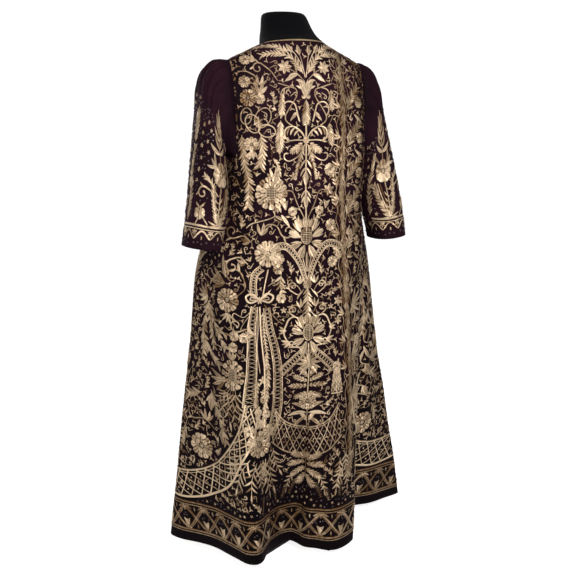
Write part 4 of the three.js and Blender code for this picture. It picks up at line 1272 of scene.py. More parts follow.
def right_of_middle(d):
    """Between the middle and the seam, on the wearer's right."""
    d.sides = (1,)
    d.bright = 0.52
    column = [at(-112, 1372), at(-104, 1300), at(-102, 1180), at(-100, 1060), at(-104, 930), at(-110, 800)]
    column += [at(-116, 680), at(-122, 560), at(-126, 440), at(-132, 330), at(-134, 240)]
    d.garland(column, 22, 8.5, 6, 24, 4, 0.26)
    for offset, sway, turns in ((-15, 5, 95), (-5, 4, 70), (8, 5, 80), (17, 4, 60)):
        stem = [p + offset for p in curve(column, 24)]
        d.cord([p + sway * math.sin(p.imag / turns * 2 * math.pi + offset) for p in stem], 2.6, 0.3)
    for y in (1296, 1226, 1150, 1078, 990, 900, 838, 760, 686, 610, 540, 380):
        x = np.interp(y, [240, 440, 680, 930, 1180, 1372], [-134, -126, -116, -104, -102, -112])
        d.bud(at(x + chance.uniform(-8, 8), y), at(chance.uniform(-6, 6), 26), 0.5)
        for way in (-1, 1):
            d.fan(at(x + 10 * way, y - 8), (34 * way, 62 * way, 92 * way), 28, 7, tone=0.4)
    for y in (1210, 1120, 1030, 940, 850):
        d.garland([at(-118, y), at(-136, y + 34), at(-160, y + 58)], 22, 9, 6.5)
        d.rose(at(-158, y + 20), 14, 7, 1)
        d.leaf(at(-140, y - 10), at(-170, y - 34), 9)
    for y, hand in ((1240, 1), (1180, -1), (1106, 1), (1036, -1)):
        d.scroll([at(-62, y), at(-72, y + 18), at(-82, y + 16)], 0.9, 9, hand, 3.2)
    d.feather(at(-60, 1180), at(-8, -60), 7, 20, 34, 0.6)
    d.feather(at(-66, 1262), at(-2, -56), 6, 18, 34, 0.55)
    d.rose(at(-62, 1062), 16, 8, 1, tone=0.62)
    d.rose(at(-66, 918), 16, 8, 1, tone=0.62)
    for y in (1012, 960, 876):
        d.sprig(at(-84, y), at(18, 40), 3, 6)
    d.rose(at(-70, 822), 15, 8, 1, tone=0.7)
    d.star(at(-84, 850), 14, 6, 1j, 0.74)
    # The tassel on the end of the ribbon.
    d.tassel(at(-78, 536), 36, 70, 0.74)
    d.cord([at(-84, 560), at(-82, 548)], 5)
    d.star(at(-86, 716), 15, 6, 1j, 0.6)
    d.star(at(-84, 664), 13, 6, 1j, 0.6)
    # Sprays fanned out from the column, and bigger ones past the fold.
    for x, y in ((-345, 610), (-352, 500), (-330, 700)):
        d.fan(at(x, y), (-24, -52, -80, -108, 40), 54, 12, tone=0.46)
        d.cord([at(x + 16, y - 60), at(x + 6, y - 20), at(x, y)], 3, 0.44)
    for y in (700, 560, 450):
        d.fan(at(-134, y), (-20, -44, -68, -94, -120, -146), 52, 9)
    for y in (636, 500, 396):
        d.garland([at(-130, y), at(-156, y + 22), at(-186, y + 24)], 24, 11, 7)
    d.rose(at(-160, 600), 16, 8, 1)
    d.rose(at(-170, 470), 18, 8, 2)
    for k, (x, y) in enumerate(((-116, 300), (-96, 286), (-130, 266), (-150, 300), (-108, 262))):
        d.sprig(at(x, y), at(-14 + 9 * k, -62), 4, 6)
    d.fern(at(-92, 226), at(-8, -44))


BORDER_STEP = 62.0  # from one crossing to the next
BORDER_CORDS = ((146, 5.6), (138.5, 3.8), (66, 6.4), (59, 2.6))  # the height and width of each


def hem_border(d, first, last, sides=(1,)):
    """Crossed bands with tulips between, inside couched cords, along the hem."""
    d.sides = sides
    d.bright = 0.24
    low, high = 70.0, 134.0
    along_hem = np.linspace(first, last, int((last - first) / 30))
    for y, width in BORDER_CORDS:
        d.cord([at(x, y + 0.8 * math.sin(x / 40)) for x in along_hem], width)
    t = np.linspace(-0.5, 0.5, 15)
    climb = 1j * mix(low, high, 0.5 - 0.5 * np.cos(np.pi * (t + 0.5)))
    count = int((last - first) / BORDER_STEP) + 1
    for k in range(count):
        x = first + k * BORDER_STEP
        for way in (1, -1):
            path = x + way * t * BORDER_STEP * 1.3 + climb
            d.stroke(path, 3.2, 1.2)
            d.stroke(path + 6.2 * way, 1.0, 0.7)
        foot = x + BORDER_STEP / 2
        d.tulip(at(foot, low + 4), at(0, 24), 0.6)
        for way in (-1, 1):
            d.leaf(at(foot + 3 * way, low + 4), at(foot + 18 * way, low + 10), 5)
        d.star(at(foot, high - 4), 11, 5, -1j)
        for way in (-1, 1):
            d.leaf(at(foot + 8 * way, high - 2), at(foot + 22 * way, high - 8), 5)
        d.star(at(x, 102), 7, 4, turned(45), 0.6)
        d.leaf(at(x, low + 2), at(x, low + 15), 5)
        d.leaf(at(x, high - 2), at(x, high - 14), 5)
        for way in (-1, 1):
            d.spangle(at(foot + 24 * way, 104))


back_panels = ["gore_front_right", "gore_back_right", "back", "gore_back_left", "gore_front_left"]
back_ground = joined_ground(back_panels)
skirt_design = BodyDesign(back_ground, AXIS)
vase_of_flowers(skirt_design)
middle_stems(skirt_design)
left_of_middle(skirt_design)
right_of_middle(skirt_design)
left_flank(skirt_design)
hem_border(skirt_design, -760, 800)


def dark_patch(place):
    """Where the velvet has small stars only: over the hem's border, and under the arms."""
    x, y = place.real, place.imag
    if 150 < y < 176:
        return True
    if y < 236 and -70 < x < 180:
        return True
    return 232 < abs(x) < 420 and y > 820


def filling(d, where):
    """Small motifs in what is left, the largest first."""
    d.sides = (1,)
    d.bright = 0.5

    def tendril(place):
        """A curled stem with leaves on both sides."""
        hand = int(chance.choice([-1, 1]))
        way = 1j * turned(chance.uniform(-80, 80))
        stem = [place - way * 15, place - way * 5 - 1j * way * hand * 3, place + way * 4]
        d.scroll(stem, 0.85, 7.5, hand, 3.4)
        for share, side, reach in ((-12, 1, 15), (-8, -1, 14), (-2, -hand, 12)):
            foot = place + way * share
            d.leaf(foot, foot + way * turned(48 * side) * reach, 5.4, -0.16 * side)

    def sprays(place):
        way = 1j * turned(chance.uniform(-70, 70)) * 30
        ending = ("bud", "star")[int(chance.integers(2))]
        d.sprig(place - way * 0.5, way, 4, 5, ending=ending, bend=0.16)

    def curls(place):
        way = turned(chance.uniform(0, 360))
        hand = int(chance.choice([-1, 1]))
        d.scroll([place - way * 9, place, place + way * 5], 0.8, 5.5, hand, 2.8, leafy=False)

    def three(place):
        """Three leaves from one foot."""
        way = 1j * turned(chance.uniform(-100, 100))
        for lean in (-46, 0, 46):
            d.leaf(place - way * 6, place - way * 6 + way * turned(lean) * 14, 5, -0.006 * lean)

    def twig(place):
        """A short bent stem that ends in two leaves."""
        way = turned(chance.uniform(0, 360))
        d.leaf(place - way * 8, place + way * 2, 2.6, 0.3)
        d.leaf(place, place + way * turned(50) * 8, 4.2, -0.24)
        d.leaf(place, place + way * turned(-40) * 7, 4.2, 0.24)

    d.fill(16.5, tendril, where, 0.7)
    d.fill(13, sprays, where, 0.6)
    d.fill(8.5, curls, where, 0.7)
    d.fill(7.2, three, where, 0.65)
    d.fill(5.8, twig, where, 0.55)


def small_stars(d, radius, apart, petal_reach, where):
    """Loose five-leaved stars. radius is the room that each needs."""
    def star(place):
        d.star(place, petal_reach, 5, 1j * turned(chance.uniform(-30, 30)), 0.5)

    d.fill(radius, star, where, apart)


filling(skirt_design, lambda p: p.imag > 150 and not dark_patch(p))
skirt_design.bright = 0.34
small_stars(skirt_design, 8, 1.7, 4.4, lambda p: p.imag > 150 and dark_patch(p))
skirt_design.fill(4.2, skirt_design.spangle, lambda p: p.imag > 72, 1.9)


# ------------ the fronts
def front_ground_of(side):
    """A front, with places measured from its front edge."""
    piece = PANELS[f"front_{side}"]
    edge = piece.across[:, [-1 if side == "left" else 0]]
    columns = [(0, piece.outer.shape[1] - 1)]
    return Ground([piece.name], piece.outer, piece.normal, piece.across - edge, piece.up, columns)


def front_flowers(d):
    """A flowered band up the front edge, and a tall spray beside it."""
    d.bright = 0.5
    edge = [at(9, y) for y in np.linspace(162, 1330, 42)]
    d.cord(edge, 4)
    d.cord([p + 6 for p in edge], 2)
    d.cord([p + 46 for p in edge[:-2]], 3.4)
    d.garland([at(30 + 5 * math.sin(y / 40), y) for y in range(168, 1300, 22)], 17, 9, 6, 40, 3)
    for y in range(210, 1290, 92):
        d.rose(at(31, y), 13, 8, 1, tone=0.62)
    for y, size in ((268, 34), (540, 34), (800, 30), (1030, 26)):
        d.rose(at(112, y), size, 11, 2, "lattice" if size > 31 else "dots", tone=0.58)
        d.fan(at(112, y + size), (-40, -14, 14, 40), size, 9)
        d.fan(at(112, y - size), (150, 176, 202), size * 1.1, 9)
        d.scroll([at(90, y + size + 46), at(74, y + size + 70), at(84, y + size + 92)], 0.9, 14, -1, 4)
        d.garland([at(130, y + size + 10), at(150, y + size + 70), at(132, y + size + 140)], 24, 12, 7)
    d.cord([at(108, 180), at(112, 300), at(106, 500), at(112, 700), at(104, 900), at(100, 1060)], 3.4)
    d.feather(at(118, 1120), at(0, 90), 8, 26)
    d.garland([at(64, 1200), at(86, 1280), at(120, 1330)], 22, 10, 6)


designs = [skirt_design]
for side, sides in (("left", (-1,)), ("right", (1,))):
    d = Design(front_ground_of(side))
    d.sides = sides
    front_flowers(d)
    hem_border(d, -27, 190, sides)
    filling(d, lambda p: p.imag > 156 and abs(p.real) > 4)
    d.fill(4.2, d.spangle, lambda p: p.imag > 72 and abs(p.real) > 4, 1.9)
    designs.append(d)


# ------------ the sleeves
def bouquet(d, side):
    """A tall plant tied over the cuff's cords. Places are the way round from the top of the arm, and up."""
    def spot(x, y):
        return at(side * x, y)

    foot = spot(101, 62)
    d.garland([foot, spot(91, 112), spot(87, 158), spot(60, 182)], 15, 8, 6, 30, 4.4, 0.56)
    for x in (-7, 0, 7):
        d.cord([foot, spot(120 + x, 100), spot(139 + x, 154)], 3.6, 0.5)
    d.garland([foot, spot(128, 96), spot(152, 150)], 18, 9, 6.5, 34, 3, 0.46)
    d.cord([foot, spot(107, 112), spot(116, 168)], 3.6)
    for y, reach in ((84, 12), (100, 14), (116, 14), (134, 12)):
        for way in (-1, 1):
            d.leaf(spot(104, y), spot(104 + reach * way, y + 15), 5, -0.16 * way)
    d.rose(spot(118, 186), 30, 5, 1, tone=0.6)
    d.dot(spot(118, 186), 6, 0.7)
    for tip_x, tip_y in ((66, 208), (80, 226), (92, 244)):
        d.leaf(spot(100, 206), spot(tip_x, tip_y), 9, 0.14 * side, 1.4)
    d.leaf(spot(134, 206), spot(160, 232), 9, -0.14 * side, 1.4)
    d.cord([spot(119, 208), spot(119, 262), spot(127, 300), spot(132, 326)], 4)
    # Pairs of leaves up the stem: the foot's height, the outer and inner tips, and the width.
    for low, outer, inner, wide in (
        (236, (76, 262), (152, 254), 12),
        (250, (98, 282), (146, 280), 10),
        (268, (97, 306), (152, 300), 11),
        (286, (110, 318), (150, 318), 9),
        (300, (118, 336), (146, 332), 9),
    ):
        x = 119 + max(0, low - 262) * 0.2
        d.leaf(spot(x, low), spot(*outer), wide, 0.16 * side, 1.5)
        d.leaf(spot(x, low), spot(*inner), wide, -0.16 * side, 1.5)
    d.leaf(spot(128, 304), spot(133, 346), 10, 0, 1.6)
    for way in (-1, 1):
        d.leaf(foot, foot + at(34 * way, -4), 7, -0.1 * way)
        d.leaf(foot, foot + at(24 * way, 10), 6, -0.1 * way)
    # A volute and a small flower beside it.
    d.scroll([spot(88, 118), spot(84, 142), spot(66, 154)], 0.95, 17, side, 5.4, 0.62)
    d.cord([spot(42, 62), spot(50, 80), spot(52, 96)], 3.4)
    d.cord([spot(76, 62), spot(64, 78), spot(54, 92)], 3.4)
    d.rose(spot(52, 90), 16, 6, 1, tone=0.66)
    d.leaf(spot(52, 104), spot(38, 116), 7, 0.1)
    d.leaf(spot(52, 104), spot(66, 116), 7, -0.1)


def sleeve_flowers(d):
    """A zigzag cuff, a bouquet on each side, sprays between them, and stars and spangles over them."""
    d.sides = (1,)
    d.bright = 0.56
    half = 172  # half the way round the cuff
    for y, width in ((58, 5.8), (50, 3)):
        d.cord([at(x, y + 1.5 * math.sin(x / 24)) for x in range(-half, half + 1, 12)], width, 0.62)
    step = 2 * half / 8
    for k in range(8):
        x = -half + (k + 0.5) * step
        d.cord([at(x - step / 2, 26), at(x, 46), at(x + step / 2, 26)], 4.6, 0.5)
        d.star(at(x + step / 2, 42), 9, 6, -1j, 0.56)
        d.leaf(at(x, 34), at(x, 24), 5)
    for side in (1, -1):
        bouquet(d, side)
    # A narrow spray along the top of the arm, and one by the seam under it.
    d.garland([at(4, 68), at(10, 130), at(2, 190), at(10, 250)], 19, 10, 6.5, 34, 3.2)
    d.feather(at(8, 262), at(4, 92), 7, 26)
    d.rose(at(6, 160), 14, 6, 1)
    d.scroll([at(6, 110), at(-8, 126), at(-22, 120)], 0.9, 11, 1, 4)
    for x in (168, -168):
        d.garland([at(x, 68), at(x, 150), at(x * 0.97, 230)], 18, 10, 6, 34, 3)

    def over_the_bouquets(place):
        return 64 < place.imag < 336 - 0.35 * abs(place.real) + 60 * (abs(place.real) < 30)

    small_stars(d, 9.5, 1.5, 6.4, over_the_bouquets)
    d.fill(5, d.spangle, lambda p: 12 < p.imag < 385 - 0.6 * abs(p.real), 2.1)


LEFT, RIGHT = np.ones(3), np.array([-1.0, 1.0, 1.0])  # a sleeve's points as they are, or mirrored


def sleeve_ground(way):
    """A sleeve's cloth, with its middle column on top of the arm."""
    half = SLEEVE_ROUND // 2
    order = [*range(half + 1, SLEEVE_ROUND), *range(0, half + 1)]
    return Ground(["sleeve"], (sleeve.outer * way)[:, order], (sleeve.normal * way)[:, order],
                  sleeve.across[:, order], sleeve.up[:, order], [(0, len(order) - 1)])


sleeve_design = Design(sleeve_ground(LEFT))
sleeve_flowers(sleeve_design)


# ------------ meshes
MM = 0.001  # metres


def linked(name, data):
    """An object in the scene that shows a mesh, a camera or a light."""
    obj = bpy.data.objects.new(name, data)
    bpy.context.scene.collection.objects.link(obj)
    return obj


def made_plain(holder, modifier, name):
    """A plain mesh of what a modifier makes. The holder and its modifier are removed."""
    whole = holder.evaluated_get(bpy.context.evaluated_depsgraph_get())
    mesh = bpy.data.meshes.new_from_object(whole)
    holder.modifiers.remove(modifier)
    bpy.data.objects.remove(holder)
    mesh.name = name
    return linked(name, mesh)


def make_mesh(name, points, faces, finishes, finish_of=None, floats=None):
    """A smooth mesh. finish_of gives each face's finish, and floats one number a point by name."""
    mesh = bpy.data.meshes.new(name)
    faces = [np.asarray(f) for f in faces if len(f)]
    loops = np.concatenate([f.ravel() for f in faces]).astype(np.int32)
    sizes = np.concatenate([np.full(len(f), f.shape[1]) for f in faces]).astype(np.int32)
    mesh.vertices.add(len(points))
    mesh.vertices.foreach_set("co", (np.asarray(points) * MM).astype(np.float32).ravel())
    mesh.loops.add(len(loops))
    mesh.loops.foreach_set("vertex_index", loops)
    mesh.polygons.add(len(sizes))
    mesh.polygons.foreach_set("loop_start", np.concatenate([[0], np.cumsum(sizes)[:-1]]).astype(np.int32))
    mesh.polygons.foreach_set("loop_total", sizes)
    for finish in finishes:
        mesh.materials.append(finish)
    if finish_of is not None:
        mesh.polygons.foreach_set("material_index", np.asarray(finish_of, np.int32))
    mesh.polygons.foreach_set("use_smooth", np.ones(len(sizes), bool))
    for key, values in (floats or {}).items():
        layer = mesh.attributes.new(key, "FLOAT", "POINT")
        layer.data.foreach_set("value", np.asarray(values, np.float32))
    mesh.update(calc_edges=True)
    mesh.validate()
    return linked(name, mesh)


def shell(name, outer, normal, closed, thick, finishes):
    """A closed thin shell inwards from a grid of outer points: the face, the lining and the edges between."""
    rows, columns = outer.shape[:2]
    if closed:
        outer, normal = outer[:, :-1], normal[:, :-1]
        columns -= 1
    inner = outer - normal * thick
    points = np.concatenate([outer.reshape(-1, 3), inner.reshape(-1, 3)])
    index = np.arange(rows * columns).reshape(rows, columns)
    if closed:
        index = np.concatenate([index, index[:, :1]], 1)
    lining = index + rows * columns
    a, b, c, d = index[:-1, :-1], index[1:, :-1], index[1:, 1:], index[:-1, 1:]
    face = np.stack([a, b, c, d], -1).reshape(-1, 4)
    under = np.stack([a, d, c, b], -1).reshape(-1, 4) + rows * columns

    def rim(line, other):
        return np.stack([line[:-1], line[1:], other[1:], other[:-1]], -1)

    rims = [rim(index[0], lining[0]), rim(index[-1][::-1], lining[-1][::-1])]
    if not closed:
        rims += [rim(index[:, 0][::-1], lining[:, 0][::-1]), rim(index[:, -1], lining[:, -1])]
    rims = np.concatenate(rims)
    quads = np.concatenate([face, under, rims])
    finish_of = np.concatenate([np.zeros(len(face)), np.ones(len(under)), np.zeros(len(rims))])
    obj = make_mesh(name, points, [quads], finishes, finish_of)
    turn_out(obj)
    return obj


def turn_out(obj):
    """Faces outwards: a closed mesh's volume is above 0."""
    mesh = obj.data
    mesh.calc_loop_triangles()
    corners = np.zeros(len(mesh.loop_triangles) * 3, np.int32)
    mesh.loop_triangles.foreach_get("vertices", corners)
    places = np.zeros(len(mesh.vertices) * 3, np.float32)
    mesh.vertices.foreach_get("co", places)
    p = places.reshape(-1, 3)[corners.reshape(-1, 3)].astype(float)
    if np.einsum("ij,ij->i", p[:, 0], np.cross(p[:, 1], p[:, 2])).sum() < 0:
        mesh.flip_normals()


# ------------ finishes
class Number:
    """A number that a node gives, for arithmetic in Python's own words."""

    def __init__(self, finish, socket):
        self.finish, self.socket = finish, socket

    def made(self, operation, *values):
        return self.finish.node("ShaderNodeMath", {"operation": operation}, *values).number()

    def __add__(self, other):
        return self.made("ADD", self, other)

    def __sub__(self, other):
        return self.made("SUBTRACT", self, other)

    def __rsub__(self, other):
        return self.made("SUBTRACT", other, self)

    def __mul__(self, other):
        return self.made("MULTIPLY", self, other)

    def __truediv__(self, other):
        return self.made("DIVIDE", self, other)

    def __pow__(self, other):
        return self.made("POWER", self, other)

    __radd__, __rmul__ = __add__, __mul__

    def sine(self):
        return self.made("SINE", self)

    def without_sign(self):
        return self.made("ABSOLUTE", self)

    def clamped(self):
        return self.made("MINIMUM", self.made("MAXIMUM", self, 0.0), 1.0)


class Made:
    """A node in a finish, and its outputs."""

    def __init__(self, finish, node):
        self.finish, self.node = finish, node

    def number(self, output=0):
        return Number(self.finish, self.node.outputs[output])

    def __getitem__(self, output):
        return self.node.outputs[output]


class Finish:
    """One procedural material."""

    def __init__(self, name):
        self.material = bpy.data.materials.new(name)
        self.material.use_nodes = True
        self.tree = self.material.node_tree
        self.shader = self.tree.nodes["Principled BSDF"]
        self.place = self.node("ShaderNodeTexCoord", {})["Object"]

    def node(self, kind, settings, *values, **named):
        node = self.tree.nodes.new(kind)
        for key, value in settings.items():
            setattr(node, key, value)
        for key, value in [*enumerate(values), *((k.replace("_", " "), v) for k, v in named.items())]:
            self.join(node.inputs[key], value)
        return Made(self, node)

    def join(self, socket, value):
        if isinstance(value, Number):
            value = value.socket
        if isinstance(value, Made):
            value = value[0]
        if isinstance(value, bpy.types.NodeSocket):
            self.tree.links.new(value, socket)
        else:
            socket.default_value = value

    def set(self, **sockets):
        for key, value in sockets.items():
            self.join(self.shader.inputs[key.replace("_", " ")], value)
        return self

    def noise(self, scale, detail=3.0):
        cloud = self.node("ShaderNodeTexNoise", {}, Vector=self.place, Scale=scale, Detail=detail)
        return cloud.number()

    def waves(self, direction, scale, distortion=0.0):
        settings = {"bands_direction": direction}
        wave = self.node("ShaderNodeTexWave", settings, Vector=self.place, Scale=scale, Distortion=distortion)
        return wave.number()

    def blend(self, amount, first, second):
        """A colour between two."""
        node = self.tree.nodes.new("ShaderNodeMix")
        node.data_type = "RGBA"
        self.join(node.inputs[0], amount)
        self.join(node.inputs[6], first)
        self.join(node.inputs[7], second)
        return node.outputs[2]

    def bump(self, height, strength, distance):
        return self.node("ShaderNodeBump", {}, Strength=strength, Distance=distance, Height=height)["Normal"]

    def attribute(self, name):
        return self.node("ShaderNodeAttribute", {"attribute_name": name}).number("Fac")


def colour(*screen):
    """A screen colour, its three parts from 0 to 255, as light."""
    parts = [((v / 255 + 0.055) / 1.055) ** 2.4 if v > 10 else v / 255 / 12.92 for v in screen]
    return (*parts, 1.0)


# the middle of the painted armhole shade, in millimetres out from the middle of the body
ARMHOLE_SHADE_X = 170.0


def velvet_finish():
    f = Finish("plum_velvet")
    nap = f.noise(9.0, 4.0)
    fine = f.noise(900.0, 2.0)
    wear = f.noise(38.0, 3.0)
    where = f.node("ShaderNodeSeparateXYZ", {}, f.place)
    painted_light_by_height = (where.number("Z") * 0.75 + 0.08).clamped()  # painted shade: the velvet is darker towards the hem and lighter higher up, where more light falls
    # Painted shade: darker velvet in a narrow band beside each armhole's seam, where the sleeve shades it.
    from_seam = (where.number("X").without_sign() - ARMHOLE_SHADE_X * MM).without_sign()
    painted_armhole_shade = (from_seam / 0.05 + 0.2).clamped()
    cloudy = nap * 1.3 - 0.2 + (wear - 0.5) * 0.4
    amount = (cloudy * painted_light_by_height * painted_armhole_shade).clamped()
    f.set(
        Base_Color=f.blend(amount, colour(6, 2, 4), colour(49, 18, 32)),
        Roughness=0.82 + (fine - 0.5) * 0.1,
        Normal=f.bump(fine + nap * 0.6, 0.35, 0.0006),
    )
    f.set(Sheen_Weight=0.12, Sheen_Roughness=0.36, Sheen_Tint=colour(122, 58, 104), Specular_IOR_Level=0.1)
    return f.material


def lining_finish():
    f = Finish("cotton_lining")
    weave = f.waves("Z", 900.0)
    cloudy = f.noise(14.0)
    f.set(
        Base_Color=f.blend(cloudy, colour(172, 160, 142), colour(208, 198, 180)),
        Roughness=0.88 + weave * 0.06,
        Normal=f.bump(weave + f.noise(600.0), 0.3, 0.0004),
    )
    return f.material


PAINTED_CREST_LIGHT = 0.74  # painted highlight and shade: how much lighter a stroke's crest is painted than its edges
RIDGE_APART = 0.9  # millimetres between a stroke's fine ridges


def gold_finish(name, dark, light, metal, rough):
    """Couched metal thread: fine ridges across each stroke, and a tone of its own for each."""
    f = Finish(name)
    run = f.attribute("run")
    tone = f.attribute("tone")
    crest = f.attribute("crest")
    ridges = (run * (2 * math.pi / RIDGE_APART)).sine()
    tarnish = f.noise(16.0, 4.0)
    worn = f.noise(110.0, 2.0)
    speck = f.noise(420.0, 2.0)
    uneven = (tarnish - 0.5) * 0.6 + (worn - 0.5) * 0.7 + (speck - 0.5) * 0.4
    # the painted crest light: a painted highlight on each stroke's crest, painted shade at its edges
    amount = (tone + (crest - 0.5) * PAINTED_CREST_LIGHT + uneven + ridges * 0.05).clamped() ** 1.35
    f.set(
        Base_Color=f.blend(amount, dark, light),
        Roughness=(rough + (speck - 0.5) * 0.25).clamped(),
        Metallic=metal,
        Normal=f.bump(ridges * 0.5 + speck, 0.5, 0.0005),
    )
    return f.material


def braid_finish():
    f = Finish("gold_braid")
    plait = f.waves("DIAGONAL", 260.0)
    worn = f.noise(30.0)
    f.set(
        Base_Color=f.blend((plait * 0.6 + worn * 0.5).clamped(), colour(110, 88, 50), colour(222, 196, 150)),
        Roughness=0.4 + worn * 0.15,
        Metallic=0.55,
        Normal=f.bump(plait, 0.6, 0.0006),
    )
    return f.material


def jersey_finish():
    f = Finish("black_jersey")
    knit = f.waves("X", 420.0, 1.5)
    cloudy = f.noise(11.0)
    f.set(
        Base_Color=f.blend(cloudy, colour(2, 2, 4), colour(6, 6, 9)),
        Roughness=0.86 + knit * 0.06,
        Normal=f.bump(knit + f.noise(300.0), 0.35, 0.0005),
    )
    f.set(Sheen_Weight=0.02, Sheen_Roughness=0.5, Specular_IOR_Level=0.1)
    return f.material


def steel_finish():
    f = Finish("black_steel")
    f.set(
        Base_Color=f.blend(f.noise(30.0), colour(22, 22, 24), colour(46, 46, 48)),
        Roughness=0.38 + (f.noise(160.0) - 0.5) * 0.3,
        Metallic=0.75,
        Normal=f.bump(f.noise(700.0), 0.15, 0.0003),
    )
    return f.material


VELVET = velvet_finish()
LINING = lining_finish()
GOLD = gold_finish("gold_thread", colour(96, 60, 10), colour(242, 214, 177), 0.66, 0.38)
SPANGLE = gold_finish("gilt_spangle", colour(104, 90, 88), colour(226, 210, 200), 0.8, 0.26)
BRAID = braid_finish()
JERSEY = jersey_finish()
STEEL = steel_finish()


# ------------ pieces
SPANGLE_SIZES = {"Radius": 0.0024, "Crown": 0.0009, "Top": 0.45}  # metres, and the top's share of the radius


def spangle_tree():
    """Small six-sided metal spangles on points, each turned to lie on the cloth."""
    tree = bpy.data.node_groups.new("spangles", "GeometryNodeTree")
    tree.interface.new_socket("Geometry", in_out="INPUT", socket_type="NodeSocketGeometry")
    sockets = {}
    for name, value in SPANGLE_SIZES.items():
        socket = tree.interface.new_socket(name, in_out="INPUT", socket_type="NodeSocketFloat")
        socket.default_value = value
        sockets[name] = socket.identifier
    finish = tree.interface.new_socket("Finish", in_out="INPUT", socket_type="NodeSocketMaterial")
    sockets["Finish"] = finish.identifier
    tree.interface.new_socket("Geometry", in_out="OUTPUT", socket_type="NodeSocketGeometry")

    def node(kind, settings, inputs):
        made_node = tree.nodes.new(kind)
        for key, value in settings.items():
            setattr(made_node, key, value)
        for key, value in inputs.items():
            if isinstance(value, bpy.types.NodeSocket):
                tree.links.new(value, made_node.inputs[key])
            else:
                made_node.inputs[key].default_value = value
        return made_node

    given = tree.nodes.new("NodeGroupInput").outputs
    factors = {0: given["Radius"], 1: given["Top"]}
    top = node("ShaderNodeMath", {"operation": "MULTIPLY"}, factors)
    disc = node("GeometryNodeMeshCone", {"fill_type": "NGON"}, {
        "Vertices": 6,
        "Radius Bottom": given["Radius"],
        "Radius Top": top.outputs[0],
        "Depth": given["Crown"],
    })
    facing = node("GeometryNodeInputNamedAttribute", {"data_type": "FLOAT_VECTOR"}, {"Name": "facing"})
    outwards = {"Vector": facing.outputs["Attribute"]}
    turned_out = node("FunctionNodeAlignRotationToVector", {"axis": "Z"}, outwards)
    size = node("FunctionNodeRandomValue", {"data_type": "FLOAT"}, {2: 0.8, 3: 1.2, "Seed": 5})
    placed_on = node("GeometryNodeInstanceOnPoints", {}, {
        "Points": given["Geometry"],
        "Instance": disc.outputs["Mesh"],
        "Rotation": turned_out.outputs[0],
        "Scale": size.outputs[1],
    })
    real = node("GeometryNodeRealizeInstances", {}, {"Geometry": placed_on.outputs[0]})
    dressed = {"Geometry": real.outputs[0], "Material": given["Finish"]}
    finished = node("GeometryNodeSetMaterial", {}, dressed)
    result = tree.nodes.new("NodeGroupOutput")
    tree.links.new(finished.outputs[0], result.inputs[0])
    return tree, sockets


SPANGLE_TREE, SPANGLE_SOCKETS = spangle_tree()


def scatter_spangles(name, points, facing):
    """Spangles at points, each turned to its point's direction."""
    seeds = bpy.data.meshes.new(name + "_places")
    seeds.vertices.add(len(points))
    seeds.vertices.foreach_set("co", (points * MM).astype(np.float32).ravel())
    ways = seeds.attributes.new("facing", "FLOAT_VECTOR", "POINT")
    ways.data.foreach_set("vector", facing.astype(np.float32).ravel())
    holder = linked(name + "_places", seeds)
    modifier = holder.modifiers.new("spangles", "NODES")
    modifier.node_group = SPANGLE_TREE
    modifier[SPANGLE_SOCKETS["Finish"]] = SPANGLE
    for key, value in SPANGLE_SIZES.items():
        modifier[SPANGLE_SOCKETS[key]] = value
    return made_plain(holder, modifier, name)


def rides(obj, slot, *replaced):
    """A piece moves with the one body, and may replace plain nodes. slot is not used."""
    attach(obj, "root")
    if replaced:
        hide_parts(*replaced)
    return obj


trimmings = {}  # by the cloth piece that each is sewn to


def trim(name, obj):
    trimmings.setdefault(name, []).append(rides(obj, "braid"))


def add_stitches(design, naming):
    """A design's stitches and spangles. naming gives the cloth piece for a ground's own name."""
    for home, (points, quads, floats) in design.sew().items():
        name = naming(home)
        trim(name, make_mesh(name + "_stitching", points, [quads], [GOLD], floats=floats))
    places = np.array(design.spangles)
    homes = design.ground.piece_of(places)
    for k, home in enumerate(design.ground.names):
        mine = places[homes == k]
        if len(mine):
            name = naming(home)
            points, facing = design.ground.lay(mine, np.full(len(mine), 0.5))
            trim(name, scatter_spangles(name + "_spangles", points, facing))


for design in designs:
    add_stitches(design, lambda home: home)
for side, way in (("left", LEFT), ("right", RIGHT)):
    sleeve_design.ground = sleeve_ground(way)
    add_stitches(sleeve_design, lambda home: f"sleeve_{side}")


def softened(name, node_name, levels, finish, slot):
    """A finer, rounder piece on a node's own form, in that node's place."""
    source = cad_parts[node_name].data.copy()
    form = bmesh.new()
    form.from_mesh(source)
    bmesh.ops.remove_doubles(form, verts=form.verts, dist=1e-5)
    limit = math.radians(40)
    bmesh.ops.join_triangles(form, faces=form.faces, angle_face_threshold=limit, angle_shape_threshold=limit)
    form.to_mesh(source)
    form.free()
    holder = linked(name + "_rough", source)
    rounding = holder.modifiers.new("rounding", "SUBSURF")
    rounding.levels = rounding.render_levels = levels
    obj = made_plain(holder, rounding, name)
    obj.data.materials.clear()
    obj.data.materials.append(finish)
    obj.data.polygons.foreach_set("use_smooth", np.ones(len(obj.data.polygons), bool))
    return rides(obj, slot, node_name)


def cloth_piece(name, outer, normal, closed):
    """A piece of the garment: velvet and lining in the place of its own plain node."""
    piece = rides(shell(name + "_cloth", outer, normal, closed, CLOTH, [VELVET, LINING]), "velvet", name)
    return piece


form_body = softened("form_body", "form_torso", 2, JERSEY, "jersey")
braid_trim = softened("neck_braid_trim", "neck_braid", 1, BRAID, "braid")
trimmings["back"].append(braid_trim)
for name, piece in PANELS.items():
    cloth_piece(name, piece.outer, piece.normal, False)
for side, way in (("left", LEFT), ("right", RIGHT)):
    cloth_piece(f"sleeve_{side}", sleeve.outer * way, sleeve.normal * way, True)
for name in ("stand_pole", "stand_foot"):
    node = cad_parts[name]
    node.data.materials.clear()
    node.data.materials.append(STEEL)


